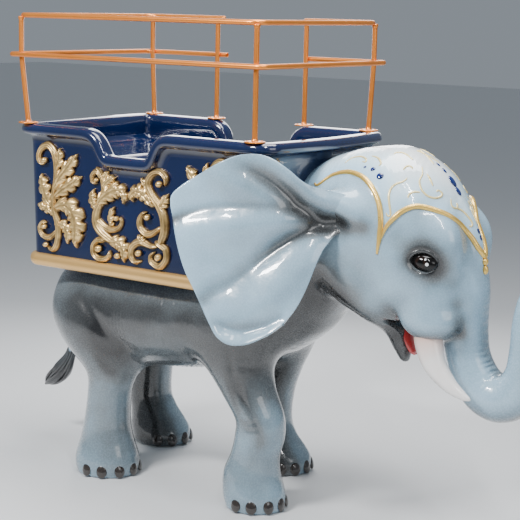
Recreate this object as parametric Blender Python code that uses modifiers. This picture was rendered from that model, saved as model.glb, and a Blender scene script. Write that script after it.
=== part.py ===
"""Ride-on carousel elephant of glossy fibreglass with a passenger tub on its back.

The figure faces +X and stands on z = 0. Lengths are metres. Every number in this file is
measured from the middle of the tub; the parent empty then moves the whole figure so that
its own middle is on the origin.
"""

import math

import bmesh
import bpy
from mathutils import Matrix, Vector

# Driving dimensions
OVERALL_HEIGHT = 2.0
FIGURE_SHIFT_X = -0.407
CLEARANCE = 0.0003

TUB_REAR = -0.600
TUB_FRONT = 0.640
TUB_HALF_WIDTH = 0.400
TUB_CORNER = 0.070
TUB_FRONT_BOW = 0.030
TUB_REAR_FLARE = 0.026
TUB_WALL = 0.030
TUB_BASE_Z = 0.915
TUB_FLOOR_Z = 0.985
RIM_LOW_Z = 1.487
RIM_HEIGHT = 0.046
RIM_REACH = 0.045
NOTCH_HALF_LENGTH = 0.210
NOTCH_DEPTH = 0.086
DOOR_FROM_X = -0.150
DOOR_TO_X = 0.220
DOOR_SILL_Z = 1.020
BENCH_Z = 1.412
BENCH_REAR_EDGE = -0.150
BENCH_FRONT_EDGE = 0.220
BENCH_SIDE_GAP = 0.002

NECK_X = 0.700

MOULDING_HEIGHT = 0.056
MOULDING_REACH = 0.026
ORNAMENT_DEPTH = 0.034

TUBE_RADIUS = 0.01065
RAIL_TOP_Z = OVERALL_HEIGHT - TUBE_RADIUS
RAIL_MID_Z = 1.8235
TOP_RAIL_BEND = 0.055
MID_RAIL_BEND = 0.030
FLANGE_RADIUS = 0.042
FLANGE_THICK = 0.005
RIM_TOP_Z = RIM_LOW_Z + RIM_HEIGHT

# The feet of the six posts, and how far each leans out by the height of the mid rail
POSTS = {
    "post_rear_right": ((-0.600, -0.420), (-0.638, -0.422)),
    "post_rear_left": ((-0.600, 0.420), (-0.615, 0.422)),
    "post_door_rear": ((-0.226, 0.418), (-0.226, 0.418)),
    "post_door_front": ((0.262, 0.418), (0.262, 0.418)),
    "post_front_left": ((0.600, 0.412), (0.612, 0.418)),
    "post_front_right": ((0.600, -0.412), (0.604, -0.418)),
}

# Colour, roughness and metallic value of each finish
FINISHES = {
    "elephant_skin": ((0.42, 0.50, 0.56), 0.16, 0.0),
    "tub_blue": ((0.015, 0.045, 0.17), 0.12, 0.0),
    "antique_gold": ((0.62, 0.44, 0.18), 0.32, 0.85),
    "bead_gold": ((0.80, 0.56, 0.22), 0.22, 0.6),
    "rail_copper": ((0.75, 0.33, 0.12), 0.28, 0.9),
    "ivory": ((0.90, 0.86, 0.78), 0.18, 0.0),
    "tongue_red": ((0.60, 0.03, 0.04), 0.25, 0.0),
    "eye_black": ((0.02, 0.015, 0.015), 0.05, 0.0),
    "tail_hair": ((0.06, 0.06, 0.065), 0.45, 0.0),
}


def remove_existing_objects():
    for item in list(bpy.data.objects):
        bpy.data.objects.remove(item, do_unlink=True)


def new_collection(name):
    collection = bpy.data.collections.new(name)
    bpy.context.scene.collection.children.link(collection)
    return collection


remove_existing_objects()
FIGURE = new_collection("carousel_elephant")
CUTTERS = new_collection("cutters")


def finish(name):
    """The material of a finish, made once for each node that wears it."""
    colour, roughness, metallic = FINISHES[name]
    material = bpy.data.materials.new(name)
    material.use_nodes = True
    shader = material.node_tree.nodes["Principled BSDF"]
    shader.inputs["Base Color"].default_value = (*colour, 1.0)
    shader.inputs["Roughness"].default_value = roughness
    shader.inputs["Metallic"].default_value = metallic
    return material


def smooth(mesh, angle=40):
    mesh.shade_smooth()
    mesh.set_sharp_from_angle(angle=math.radians(angle))


def add_mesh_object(name, work, finish_name=None):
    """Turn a bmesh into an object, as a node with a finish or as a hidden cutter."""
    bmesh.ops.recalc_face_normals(work, faces=work.faces)
    mesh = bpy.data.meshes.new(name)
    work.to_mesh(mesh)
    work.free()
    smooth(mesh)
    item = bpy.data.objects.new(name, mesh)
    if finish_name:
        mesh.materials.append(finish(finish_name))
        FIGURE.objects.link(item)
    else:
        CUTTERS.objects.link(item)
        item.hide_render = True
        item.display_type = "WIRE"
    return item


def freeze(item):
    """Replace an object's data with its evaluated mesh, so that later cuts start from it."""
    bpy.context.view_layer.update()
    evaluated = item.evaluated_get(bpy.context.evaluated_depsgraph_get())
    mesh = bpy.data.meshes.new_from_object(evaluated)
    if item.type == "CURVE":
        work = bmesh.new()
        work.from_mesh(mesh)
        bmesh.ops.remove_doubles(work, verts=work.verts, dist=0.00002)
        work.to_mesh(mesh)
        work.free()
        smooth(mesh)
        replacement = bpy.data.objects.new(item.name, mesh)
        replacement.matrix_world = item.matrix_world
        name = item.name
        for collection in item.users_collection:
            collection.objects.link(replacement)
        bpy.data.objects.remove(item, do_unlink=True)
        replacement.name = name
        return replacement
    item.modifiers.clear()
    item.data = mesh
    return item


def boolean(item, other, operation):
    modifier = item.modifiers.new(operation.lower(), "BOOLEAN")
    modifier.operation = operation
    modifier.solver = "EXACT"
    modifier.object = other
    return freeze(item)


def hide_as_cutter(item):
    for collection in list(item.users_collection):
        collection.objects.unlink(item)
    CUTTERS.objects.link(item)
    item.hide_render = True
    item.display_type = "WIRE"
    return item


def join_into(item, other):
    """Fuse a second piece into the first one."""
    hide_as_cutter(other)
    return boolean(item, other, "UNION")


def trim(item, neighbour, gap=CLEARANCE):
    """Cut a piece back to a neighbour, a gap away from the neighbour's surface."""
    cutter = bpy.data.objects.new(neighbour.name + "_grown", neighbour.data.copy())
    hide_as_cutter(cutter)
    grow = cutter.modifiers.new("grow", "DISPLACE")
    grow.strength = gap
    grow.mid_level = 0.0
    grow.direction = "NORMAL"
    return boolean(item, cutter, "DIFFERENCE")


def between(rows, steps):
    """Rows of numbers joined by a smooth Catmull-Rom curve, with steps spans to each row."""
    out = []
    last = len(rows) - 1
    for index in range(last):
        before = rows[max(index - 1, 0)]
        here = rows[index]
        after = rows[index + 1]
        beyond = rows[min(index + 2, last)]
        for step in range(steps):
            t = step / steps
            row = []
            for a, b, c, d in zip(before, here, after, beyond):
                bend = 2 * a - 5 * b + 4 * c - d
                twist = 3 * b - a - 3 * c + d
                row.append(0.5 * (2 * b + (c - a) * t + bend * t * t + twist * t * t * t))
            out.append(row)
    out.append(list(rows[last]))
    return out


def oval(centre, across, up, half_width, height_up, height_down, sides, power=2.0):
    """A ring round centre: an oval whose upper and lower halves may differ in height."""
    ring = []
    for index in range(sides):
        angle = 2 * math.pi * index / sides
        c = math.cos(angle)
        s = math.sin(angle)
        reach = abs(c) ** power + abs(s) ** power
        reach = reach ** (-1.0 / power)
        height = height_up if s > 0 else height_down
        ring.append(centre + across * (half_width * c * reach) + up * (height * s * reach))
    return ring


def skin_rings(name, rings, finish_name=None, closed=False):
    """A closed skin over a row of rings, with flat ends, or joined into a loop."""
    work = bmesh.new()
    rows = [[work.verts.new(point) for point in ring] for ring in rings]
    count = len(rows[0])
    spans = len(rows) if closed else len(rows) - 1
    for index in range(spans):
        first = rows[index]
        second = rows[(index + 1) % len(rows)]
        for side in range(count):
            after = (side + 1) % count
            work.faces.new((first[side], first[after], second[after], second[side]))
    bmesh.ops.triangulate(work, faces=work.faces)
    if not closed:
        work.faces.new(rows[0])
        work.faces.new(rows[-1])
    return add_mesh_object(name, work, finish_name)


def limb(name, rows, sides, steps, finish_name=None, power=2.0):
    """A body part along a path in the figure's middle plane or beside it.

    Each row is x, y, z of the centre, the path's slope in degrees below +X, the half width
    across the figure, and the half height on the upper and on the lower side of the path.
    """
    rings = []
    for x, y, z, slope, half_width, height_up, height_down in between(rows, steps):
        angle = math.radians(slope)
        up = Vector((math.sin(angle), 0.0, math.cos(angle)))
        across = Vector((0.0, 1.0, 0.0))
        rings.append(oval(Vector((x, y, z)), across, up, half_width, height_up, height_down, sides, power))
    return skin_rings(name, rings, finish_name)


def ball(name, centre, radii, finish_name=None, segments=16):
    work = bmesh.new()
    bmesh.ops.create_uvsphere(work, u_segments=segments, v_segments=segments // 2, radius=1.0)
    bmesh.ops.scale(work, vec=radii, verts=work.verts)
    bmesh.ops.translate(work, vec=centre, verts=work.verts)
    return add_mesh_object(name, work, finish_name)


def box_cutter(name, low, high):
    size = [b - a for a, b in zip(low, high)]
    middle = [(a + b) / 2 for a, b in zip(low, high)]
    work = bmesh.new()
    bmesh.ops.create_cube(work, size=1.0)
    bmesh.ops.scale(work, vec=size, verts=work.verts)
    bmesh.ops.translate(work, vec=middle, verts=work.verts)
    return add_mesh_object(name, work)


def mirrored(item, name):
    """The same piece on the other side of the figure."""
    work = bmesh.new()
    work.from_mesh(item.data)
    bmesh.ops.transform(work, matrix=Matrix.Scale(-1, 4, (0, 1, 0)), verts=work.verts)
    bmesh.ops.reverse_faces(work, faces=work.faces)
    return add_mesh_object(name, work, item.data.materials[0].name.split(".")[0])


# Plan of the tub

def tub_plan():
    """The tub's outer outline from above, as points with outward directions.

    It starts beside the doorway on the left, runs over the front, along the right side, over
    the rear and back to the doorway. Corners are quarter circles, and the front is bowed.
    """
    points = []
    straight = []
    inner_x_front = TUB_FRONT - TUB_CORNER
    inner_x_rear = TUB_REAR + TUB_CORNER
    inner_y = TUB_HALF_WIDTH - TUB_CORNER

    def along_side(side, xs):
        for x in xs:
            straight.append((x, side * TUB_HALF_WIDTH, 0.0, float(side)))

    def corner(x, y, start):
        for step in range(5):
            angle = math.radians(start - 22.5 * step)
            out_x = math.cos(angle)
            out_y = math.sin(angle)
            straight.append((x + TUB_CORNER * out_x, y + TUB_CORNER * out_y, out_x, out_y))

    door_middle = (DOOR_FROM_X + DOOR_TO_X) / 2
    notch = NOTCH_HALF_LENGTH
    along_side(1, (door_middle, DOOR_TO_X - 0.001, DOOR_TO_X + 0.001, DOOR_TO_X + 0.010,
                   DOOR_TO_X + 0.030, DOOR_TO_X + 0.060, 0.40))
    corner(inner_x_front, inner_y, 90)
    for y in (0.16, 0.0, -0.16):
        straight.append((TUB_FRONT, y, 1.0, 0.0))
    corner(inner_x_front, -inner_y, 0)
    along_side(-1, (0.40, notch + 0.04))
    along_side(-1, [notch * (1 - step / 7) for step in range(15)])
    along_side(-1, (-notch - 0.04, -0.40))
    corner(inner_x_rear, -inner_y, -90)
    for y in (-0.16, 0.0, 0.16):
        straight.append((TUB_REAR, y, -1.0, 0.0))
    corner(inner_x_rear, inner_y, -180)
    along_side(1, (-0.40, DOOR_FROM_X - 0.060, DOOR_FROM_X - 0.030, DOOR_FROM_X - 0.010,
                   DOOR_FROM_X - 0.001, DOOR_FROM_X + 0.001))
    for x, y, out_x, out_y in straight:
        bow = 0.0
        if x > inner_x_front:
            share = max(0.0, 1.0 - (y / TUB_HALF_WIDTH) ** 2)
            bow = TUB_FRONT_BOW * share * (x - inner_x_front) / TUB_CORNER
        points.append((Vector((x + bow, y, 0.0)), Vector((out_x, out_y, 0.0))))
    return points


def rim_drop(place):
    """How far the rim dips: a smooth notch on the right side, the doorway on the left."""
    if place.y < -TUB_HALF_WIDTH + 0.001 and abs(place.x) < NOTCH_HALF_LENGTH:
        share = abs(place.x) / NOTCH_HALF_LENGTH
        share = min(1.0, max(0.0, (share - 0.42) / 0.58))
        return NOTCH_DEPTH * (0.5 + 0.5 * math.cos(math.pi * share))
    if place.y > TUB_HALF_WIDTH - 0.001:
        inside = min(place.x - DOOR_FROM_X, DOOR_TO_X - place.x)
        if inside > 0.0:
            return RIM_TOP_Z - DOOR_SILL_Z
        shoulder = 0.030
        share = min(1.0, max(0.0, 1.0 + inside / shoulder))
        return shoulder * (1.0 - math.sqrt(1.0 - share * share))
    return 0.0


def rear_flare(place, z):
    """The rear wall leans back as it rises."""
    share = (z - TUB_BASE_Z) / (RIM_LOW_Z - TUB_BASE_Z)
    towards_rear = max(0.0, min(1.0, (TUB_REAR + 2 * TUB_CORNER - place.x) / (2 * TUB_CORNER)))
    return Vector((-TUB_REAR_FLARE * share * towards_rear, 0.0, 0.0))


def tub_section(place, outward, profile):
    """Points of a wall section: each profile entry is a reach outward and a height."""
    return [place + outward * reach + rear_flare(place, z) + Vector((0, 0, z)) for reach, z in profile]


def build_tub():
    rings = []
    for place, outward in tub_plan():
        drop = rim_drop(place)
        low = RIM_LOW_Z - drop
        in_doorway = drop > 0.3
        reach = 0.0 if in_doorway else RIM_REACH
        inward = -TUB_WALL
        profile = [
            (0.0, TUB_BASE_Z),
            (0.0, low),
            (reach * 0.78, low + 0.001),
            (reach, low + 0.5 * RIM_HEIGHT),
            (reach * 0.82, low + 0.9 * RIM_HEIGHT),
            (reach * 0.45, low + RIM_HEIGHT),
            (inward + 0.014, low + RIM_HEIGHT),
            (inward, low + RIM_HEIGHT - 0.012),
            (inward, TUB_BASE_Z),
        ]
        rings.append(tub_section(place, outward, profile))
    return skin_rings("tub", rings, "tub_blue", closed=True)


def inner_outline(inset, z):
    ring = []
    for place, outward in tub_plan():
        ring.append(place - outward * inset + rear_flare(place, z) + Vector((0, 0, z)))
    return ring


def build_floor():
    inset = TUB_WALL + CLEARANCE
    rings = [inner_outline(inset, TUB_BASE_Z), inner_outline(inset, TUB_FLOOR_Z)]
    return skin_rings("tub_floor", rings, "tub_blue")


def build_bench(name, keep_from, keep_to):
    """A closed seat box that fills one end of the tub, with a rounded front edge."""
    inset = TUB_WALL + BENCH_SIDE_GAP
    bottom = TUB_FLOOR_Z + CLEARANCE
    rings = [inner_outline(inset, bottom), inner_outline(inset, BENCH_Z)]
    bench = skin_rings(name, rings, "tub_blue")
    keep = box_cutter(name + "_extent", (keep_from, -1.0, 0.5), (keep_to, 1.0, 2.0))
    bench = boolean(bench, keep, "INTERSECT")
    front_edge = keep_to if keep_from < -0.5 else keep_from
    work = bmesh.new()
    work.from_mesh(bench.data)
    edges = []
    for edge in work.edges:
        a, b = edge.verts
        on_top = a.co.z > BENCH_Z - 0.001 and b.co.z > BENCH_Z - 0.001
        on_front = abs(a.co.x - front_edge) < 0.001 and abs(b.co.x - front_edge) < 0.001
        if on_top and on_front:
            edges.append(edge)
    bmesh.ops.bevel(work, geom=edges, offset=0.030, segments=4, affect="EDGES", profile=0.5)
    work.to_mesh(bench.data)
    work.free()
    smooth(bench.data)
    return bench


def build_moulding(name, first, last):
    """A half-round moulding round the foot of the tub, from one plan point to another."""
    plan = tub_plan()
    rings = []
    for index in range(first, last + 1):
        place, outward = plan[index % len(plan)]
        if index == first:
            along = plan[(index + 1) % len(plan)][0] - place
            place = place + along.normalized() * CLEARANCE / 2
        if index == last:
            along = plan[(index - 1) % len(plan)][0] - place
            place = place + along.normalized() * CLEARANCE / 2
        profile = []
        for step in range(7):
            angle = math.pi * step / 6 - math.pi / 2
            reach = CLEARANCE + MOULDING_REACH * math.cos(angle)
            profile.append((reach, TUB_BASE_Z + MOULDING_HEIGHT * (0.5 + 0.5 * math.sin(angle))))
        rings.append(tub_section(place, outward, profile))
    return skin_rings(name, rings, "antique_gold")


def build_mouldings():
    """Four lengths of moulding that meet at mitres in the middle of the tub's corners."""
    plan = tub_plan()
    mitres = [index for index, (_, out) in enumerate(plan) if abs(abs(out.x) - abs(out.y)) < 0.01]
    mitres.append(mitres[0] + len(plan))
    names = ("base_moulding_front", "base_moulding_right", "base_moulding_rear", "base_moulding_left")
    for name, first, last in zip(names, mitres, mitres[1:]):
        build_moulding(name, first, last)


# The elephant's body

def build_torso():
    """Barrel of the body from the rump to the chest: x, top, bottom and half width."""
    stations = (
        (-0.668, 0.800, 0.690, 0.050),
        (-0.655, 0.850, 0.620, 0.150),
        (-0.600, 0.915, 0.540, 0.262),
        (-0.500, 0.965, 0.490, 0.335),
        (-0.300, 1.000, 0.462, 0.372),
        (-0.050, 1.000, 0.478, 0.388),
        (0.200, 1.000, 0.520, 0.378),
        (0.420, 1.100, 0.592, 0.345),
        (0.600, 1.320, 0.712, 0.305),
        (NECK_X, 1.410, 0.800, 0.272),
    )
    rings = []
    for x, top, bottom, half_width in between(stations, 3):
        middle = Vector((x, 0.0, bottom + 0.52 * (top - bottom)))
        up = Vector((0, 0, 1))
        across = Vector((0, 1, 0))
        rings.append(oval(middle, across, up, half_width, top - middle.z, middle.z - bottom, 24, 2.25))
    torso = skin_rings("torso", rings, "elephant_skin")
    for cutter in tub_space(0.6):
        torso = boolean(torso, cutter, "DIFFERENCE")
    return torso


def tub_space(height):
    """Cutters for the room that the tub and its foot moulding take, a clearance larger."""
    cutters = []
    moulding_top = MOULDING_HEIGHT + 2 * CLEARANCE
    for name, reach, tall in (("tub_space", 0.0, height), ("moulding_space", MOULDING_REACH, moulding_top)):
        low = inner_outline(-reach - 2 * CLEARANCE, TUB_BASE_Z)
        high = inner_outline(-reach - 2 * CLEARANCE, TUB_BASE_Z + tall)
        rings = [[point - Vector((0, 0, CLEARANCE)) for point in low], high]
        cutters.append(skin_rings(name, rings))
    return cutters


def build_leg(name, rows):
    """A leg from the shoulder or hip down to the sole: z, x, y, half length and half width."""
    rings = []
    for z, x, y, half_length, half_width in between(rows, 2):
        centre = Vector((x, y, z))
        rings.append(oval(centre, Vector((0, 1, 0)), Vector((1, 0, 0)), half_width, half_length, half_length, 18))
    return skin_rings(name, rings, "elephant_skin")


LEG_ROWS = {
    "leg_front_right": (
        (0.860, 0.400, -0.185, 0.160, 0.110),
        (0.740, 0.385, -0.205, 0.172, 0.140),
        (0.600, 0.400, -0.212, 0.146, 0.135),
        (0.490, 0.449, -0.212, 0.116, 0.115),
        (0.383, 0.510, -0.212, 0.102, 0.104),
        (0.304, 0.512, -0.212, 0.104, 0.104),
        (0.221, 0.492, -0.212, 0.103, 0.104),
        (0.140, 0.478, -0.214, 0.122, 0.116),
        (0.060, 0.492, -0.216, 0.134, 0.126),
        (0.000, 0.500, -0.216, 0.124, 0.120),
    ),
    "leg_front_left": (
        (0.860, 0.380, 0.185, 0.160, 0.110),
        (0.740, 0.345, 0.215, 0.165, 0.140),
        (0.600, 0.305, 0.250, 0.135, 0.128),
        (0.480, 0.262, 0.270, 0.110, 0.108),
        (0.358, 0.228, 0.278, 0.098, 0.100),
        (0.225, 0.220, 0.280, 0.094, 0.098),
        (0.145, 0.240, 0.280, 0.104, 0.106),
        (0.060, 0.284, 0.280, 0.132, 0.124),
        (0.000, 0.292, 0.280, 0.122, 0.118),
    ),
    "leg_hind_right": (
        (0.820, -0.360, -0.180, 0.150, 0.100),
        (0.730, -0.360, -0.205, 0.182, 0.142),
        (0.629, -0.318, -0.228, 0.155, 0.145),
        (0.474, -0.264, -0.236, 0.108, 0.110),
        (0.370, -0.285, -0.240, 0.096, 0.100),
        (0.241, -0.298, -0.240, 0.101, 0.104),
        (0.156, -0.300, -0.240, 0.118, 0.114),
        (0.060, -0.298, -0.240, 0.148, 0.136),
        (0.000, -0.296, -0.240, 0.138, 0.128),
    ),
    "leg_hind_left": (
        (0.820, -0.400, 0.180, 0.140, 0.100),
        (0.730, -0.430, 0.200, 0.160, 0.140),
        (0.600, -0.450, 0.240, 0.145, 0.135),
        (0.470, -0.466, 0.262, 0.110, 0.108),
        (0.360, -0.476, 0.275, 0.098, 0.100),
        (0.230, -0.488, 0.280, 0.100, 0.102),
        (0.155, -0.466, 0.280, 0.112, 0.108),
        (0.060, -0.424, 0.280, 0.146, 0.130),
        (0.000, -0.420, 0.280, 0.138, 0.124),
    ),
}


def build_head():
    """Neck, domed skull and brow, with a full cheek over each tusk."""
    rows = (
        (NECK_X + CLEARANCE, 0.0, 1.117, 0.0, 0.272, 0.293, 0.317),
        (0.800, 0.0, 1.165, 2.0, 0.266, 0.312, 0.248),
        (0.980, 0.0, 1.200, 12.0, 0.276, 0.318, 0.300),
        (1.130, 0.0, 1.155, 34.0, 0.240, 0.270, 0.285),
        (1.225, 0.0, 1.060, 56.0, 0.192, 0.194, 0.235),
        (1.275, 0.0, 0.965, 72.0, 0.150, 0.136, 0.165),
        (1.302, 0.0, 0.885, 82.0, 0.116, 0.108, 0.120),
    )
    head = limb("head", rows, 24, 4, "elephant_skin", 2.1)
    for side in (-1, 1):
        cheek = ball("cheek", (1.236, side * 0.130, 0.925), (0.098, 0.072, 0.118))
        head = join_into(head, cheek)
    return head


def build_trunk():
    """The trunk hangs from the brow, turns under and curls up in front."""
    rows = (
        (1.300, 0.0, 0.910, 80.0, 0.108, 0.112, 0.110),
        (1.322, 0.0, 0.820, 84.0, 0.092, 0.094, 0.092),
        (1.343, 0.0, 0.740, 74.0, 0.086, 0.086, 0.088),
        (1.376, 0.0, 0.668, 58.0, 0.088, 0.088, 0.092),
        (1.424, 0.0, 0.612, 34.0, 0.092, 0.092, 0.096),
        (1.487, 0.0, 0.592, 0.0, 0.094, 0.096, 0.096),
        (1.552, 0.0, 0.620, -38.0, 0.091, 0.090, 0.092),
        (1.594, 0.0, 0.690, -68.0, 0.087, 0.086, 0.086),
        (1.606, 0.0, 0.785, -86.0, 0.083, 0.082, 0.082),
        (1.606, 0.0, 0.885, -86.0, 0.078, 0.077, 0.077),
        (1.618, 0.0, 0.975, -72.0, 0.072, 0.070, 0.070),
        (1.648, 0.0, 1.045, -58.0, 0.066, 0.062, 0.062),
        (1.682, 0.0, 1.092, -50.0, 0.060, 0.054, 0.054),
    )
    return limb("trunk", rows, 16, 3, "elephant_skin")


def build_jaw():
    rows = (
        (0.905, 0.0, 0.960, 48.0, 0.120, 0.080, 0.100),
        (0.960, 0.0, 0.880, 56.0, 0.104, 0.066, 0.072),
        (1.018, 0.0, 0.785, 60.0, 0.082, 0.046, 0.054),
        (1.064, 0.0, 0.712, 56.0, 0.056, 0.034, 0.040),
        (1.082, 0.0, 0.684, 50.0, 0.030, 0.018, 0.022),
    )
    return limb("lower_jaw", rows, 14, 3, "elephant_skin")


def build_tongue():
    rows = (
        (1.030, 0.0, 0.905, 66.0, 0.058, 0.022, 0.020),
        (1.070, 0.0, 0.825, 64.0, 0.056, 0.020, 0.018),
        (1.108, 0.0, 0.752, 58.0, 0.046, 0.015, 0.014),
        (1.124, 0.0, 0.728, 50.0, 0.024, 0.008, 0.008),
    )
    return limb("tongue", rows, 12, 2, "tongue_red")


def build_tusk(name):
    """A tusk on the right side, tapering from its socket to a blunt point."""
    rows = (
        (1.248, -0.140, 0.870, 84.0, 0.050, 0.056, 0.056),
        (1.258, -0.145, 0.800, 78.0, 0.048, 0.054, 0.054),
        (1.290, -0.152, 0.720, 62.0, 0.042, 0.046, 0.046),
        (1.350, -0.160, 0.655, 38.0, 0.031, 0.033, 0.033),
        (1.412, -0.166, 0.622, 22.0, 0.017, 0.018, 0.018),
        (1.446, -0.168, 0.612, 14.0, 0.005, 0.005, 0.005),
    )
    return limb(name, rows, 14, 3, "ivory")


# Ears, drawn flat as seen from in front and to the right: x to the right and y down, in
# units of EAR_UNIT. The drawing is set square to EAR_OUT and its folds rise along it.

EAR_UNIT = 0.000514
EAR_SIGHT = 5.8
EAR_MIDDLE = (0.6367, -0.4775, 1.1895)
EAR_DRAWN_MIDDLE = (750, 700)
EAR_LEVEL = 0.950
EAR_RIGHT = (0.8086, 0.5880, 0.0218)
EAR_UP = (-0.1169, 0.1242, 0.9853)
EAR_OUT = (0.5767, -0.7993, 0.1692)
EAR_THICK = 0.016
EAR_ROWS = 25
EAR_COLUMNS = 15
LEFT_EAR_DROP = 0.045
LEFT_EAR_DROP_FROM_Z = 1.25
LEFT_EAR_DROP_TO_Z = 1.50

EAR_TOP = (
    (1620, 500), (1500, 440), (1360, 392), (1250, 366), (1180, 338), (1120, 298),
    (1050, 235), (970, 175), (900, 135), (830, 112), (760, 105),
)
EAR_RIM = (
    (760, 105), (660, 116), (560, 150), (450, 205), (350, 265), (250, 325), (165, 400),
    (150, 470), (166, 570), (183, 690), (215, 840), (260, 980), (315, 1095), (370, 1215),
    (430, 1350), (495, 1470), (580, 1528), (680, 1536), (780, 1510), (880, 1460),
    (950, 1415), (1000, 1370),
)
EAR_FRONT = (
    (1450, 690), (1398, 714), (1348, 758), (1298, 828), (1240, 930), (1190, 1060),
    (1130, 1190), (1070, 1290), (1000, 1370),
)
EAR_ROOT = ((1620, 500), (1570, 560), (1510, 620), (1450, 690))

# Places on the drawing with the level of the sheet there, measured along EAR_OUT
EAR_LEVELS = (
    (760, 105, 1.010), (1000, 215, 1.012), (1250, 368, 0.985), (1600, 480, 0.945),
    (1450, 690, 0.930), (145, 425, 0.900), (178, 640, 0.905), (245, 940, 0.915),
    (350, 1170, 0.930), (520, 1480, 0.945), (680, 1530, 0.960), (1000, 1370, 0.985),
    (1190, 1060, 0.985), (1335, 765, 0.952), (700, 700, 0.955), (1000, 900, 0.965),
    (400, 900, 0.930),
)
EAR_LEVEL_SPREAD = 260.0

# Towards the root the folds calm down by this share
EAR_CALM_FROM_X = 1150
EAR_CALM_TO_X = 1400
EAR_CALM = 0.65

# Folds of the ear: half width on the drawing, then x, y and rise in millimetres
EAR_FOLDS = (
    (78, ((800, 130, 6), (900, 175, 12), (1000, 245, 18), (1080, 325, 22), (1180, 415, 26),
          (1290, 462, 28), (1420, 492, 28), (1600, 540, 28))),
    (62, ((620, 190, -3), (740, 222, -12), (850, 270, -22), (950, 335, -28), (1030, 405, -30),
          (1120, 490, -28), (1220, 570, -22), (1320, 612, -14), (1500, 620, -10))),
    (110, ((900, 410, 8), (700, 350, 12), (480, 300, 12), (300, 350, 6))),
    (55, ((180, 590, -9), (320, 540, -9), (500, 505, -6), (800, 490, -6), (1050, 520, -8))),
    (150, ((1130, 640, 22), (1000, 620, 36), (800, 620, 44), (600, 640, 40), (420, 660, 26),
           (260, 690, 10))),
    (70, ((1260, 655, -12), (1130, 696, -26), (1040, 735, -32), (950, 795, -32), (860, 868, -28),
          (740, 965, -20), (600, 1065, -15), (480, 1125, -12), (380, 1190, -8))),
    (120, ((1320, 760, 8), (1180, 880, 18), (1030, 1020, 22), (880, 1180, 22), (720, 1300, 14))),
    (48, ((470, 1390, -4), (560, 1400, -9), (700, 1430, -11), (860, 1400, -11), (980, 1335, -8))),
    (62, ((430, 1330, 6), (500, 1480, 20), (600, 1540, 28), (720, 1540, 30), (880, 1470, 26),
          (1000, 1385, 18), (1070, 1290, 6))),
)


def spread(points, count):
    """Places evenly spaced along a smooth curve through points of a drawing."""
    fine = [Vector(point) for point in between(points, 8)]
    runs = [0.0]
    for a, b in zip(fine, fine[1:]):
        runs.append(runs[-1] + (b - a).length)
    out = []
    index = 0
    for step in range(count):
        goal = runs[-1] * step / (count - 1)
        while index < len(runs) - 2 and runs[index + 1] < goal:
            index += 1
        share = (goal - runs[index]) / (runs[index + 1] - runs[index])
        out.append(fine[index].lerp(fine[index + 1], share))
    return out


def fold_rise(place):
    """How far the folds lift the ear's sheet at a place on its drawing."""
    rise = 0.0
    for width, line in EAR_FOLDS:
        nearest = None
        for first, second in zip(line, line[1:]):
            start = Vector(first[:2])
            along = Vector(second[:2]) - start
            share = (place - start).dot(along) / along.length_squared
            share = min(max(share, 0.0), 1.0)
            gap = (place - start - along * share).length
            if nearest is None or gap < nearest[0]:
                nearest = (gap, first[2] + share * (second[2] - first[2]))
        rise += nearest[1] * math.exp(-(nearest[0] / width) ** 2)
    share = (place.x - EAR_CALM_FROM_X) / (EAR_CALM_TO_X - EAR_CALM_FROM_X)
    share = min(max(share, 0.0), 1.0)
    return rise * (1 - EAR_CALM * share) / 1000


def sheet_level(place):
    """Level of the flat sheet at a place, blended from the levels given round it."""
    total = 0.0
    weights = 0.0
    for x, y, level in EAR_LEVELS:
        gap = (place - Vector((x, y))).length
        weight = math.exp(-(gap / EAR_LEVEL_SPREAD) ** 2) + 0.000001
        total += weight * level
        weights += weight
    return total / weights


def ear_point(place):
    out = sheet_level(place) - EAR_LEVEL + fold_rise(place)
    scale = EAR_UNIT * (1 - out / EAR_SIGHT)
    across = (place.x - EAR_DRAWN_MIDDLE[0]) * scale
    height = (EAR_DRAWN_MIDDLE[1] - place.y) * scale
    return Vector(EAR_MIDDLE) + Vector(EAR_RIGHT) * across + Vector(EAR_UP) * height + Vector(EAR_OUT) * out


def build_ear(name, side, drop):
    """A thin waved sheet, drawn flat between its four edges and lifted into folds."""
    top = spread(EAR_TOP, EAR_COLUMNS)
    front = spread(EAR_FRONT, EAR_COLUMNS)
    root = spread(EAR_ROOT, EAR_ROWS)
    rim = spread(EAR_RIM, EAR_ROWS)
    work = bmesh.new()
    rows = []
    for index in range(EAR_ROWS):
        s = index / (EAR_ROWS - 1)
        row = []
        for step in range(EAR_COLUMNS):
            t = step / (EAR_COLUMNS - 1)
            corners = root[0].lerp(rim[0], t).lerp(root[-1].lerp(rim[-1], t), s)
            place = root[index].lerp(rim[index], t) + top[step].lerp(front[step], s) - corners
            point = ear_point(place)
            share = (point.z - LEFT_EAR_DROP_FROM_Z) / (LEFT_EAR_DROP_TO_Z - LEFT_EAR_DROP_FROM_Z)
            share = min(max(share, 0.0), 1.0)
            point.z -= drop * share * share * (3 - 2 * share)
            point.y *= -side
            row.append(work.verts.new(point))
        rows.append(row)
    for first, second in zip(rows, rows[1:]):
        for step in range(EAR_COLUMNS - 1):
            work.faces.new((first[step], first[step + 1], second[step + 1], second[step]))
    mesh_object = add_mesh_object(name, work, "elephant_skin")
    thick = mesh_object.modifiers.new("thickness", "SOLIDIFY")
    thick.thickness = EAR_THICK
    thick.offset = 0.0
    return freeze(mesh_object)


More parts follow.
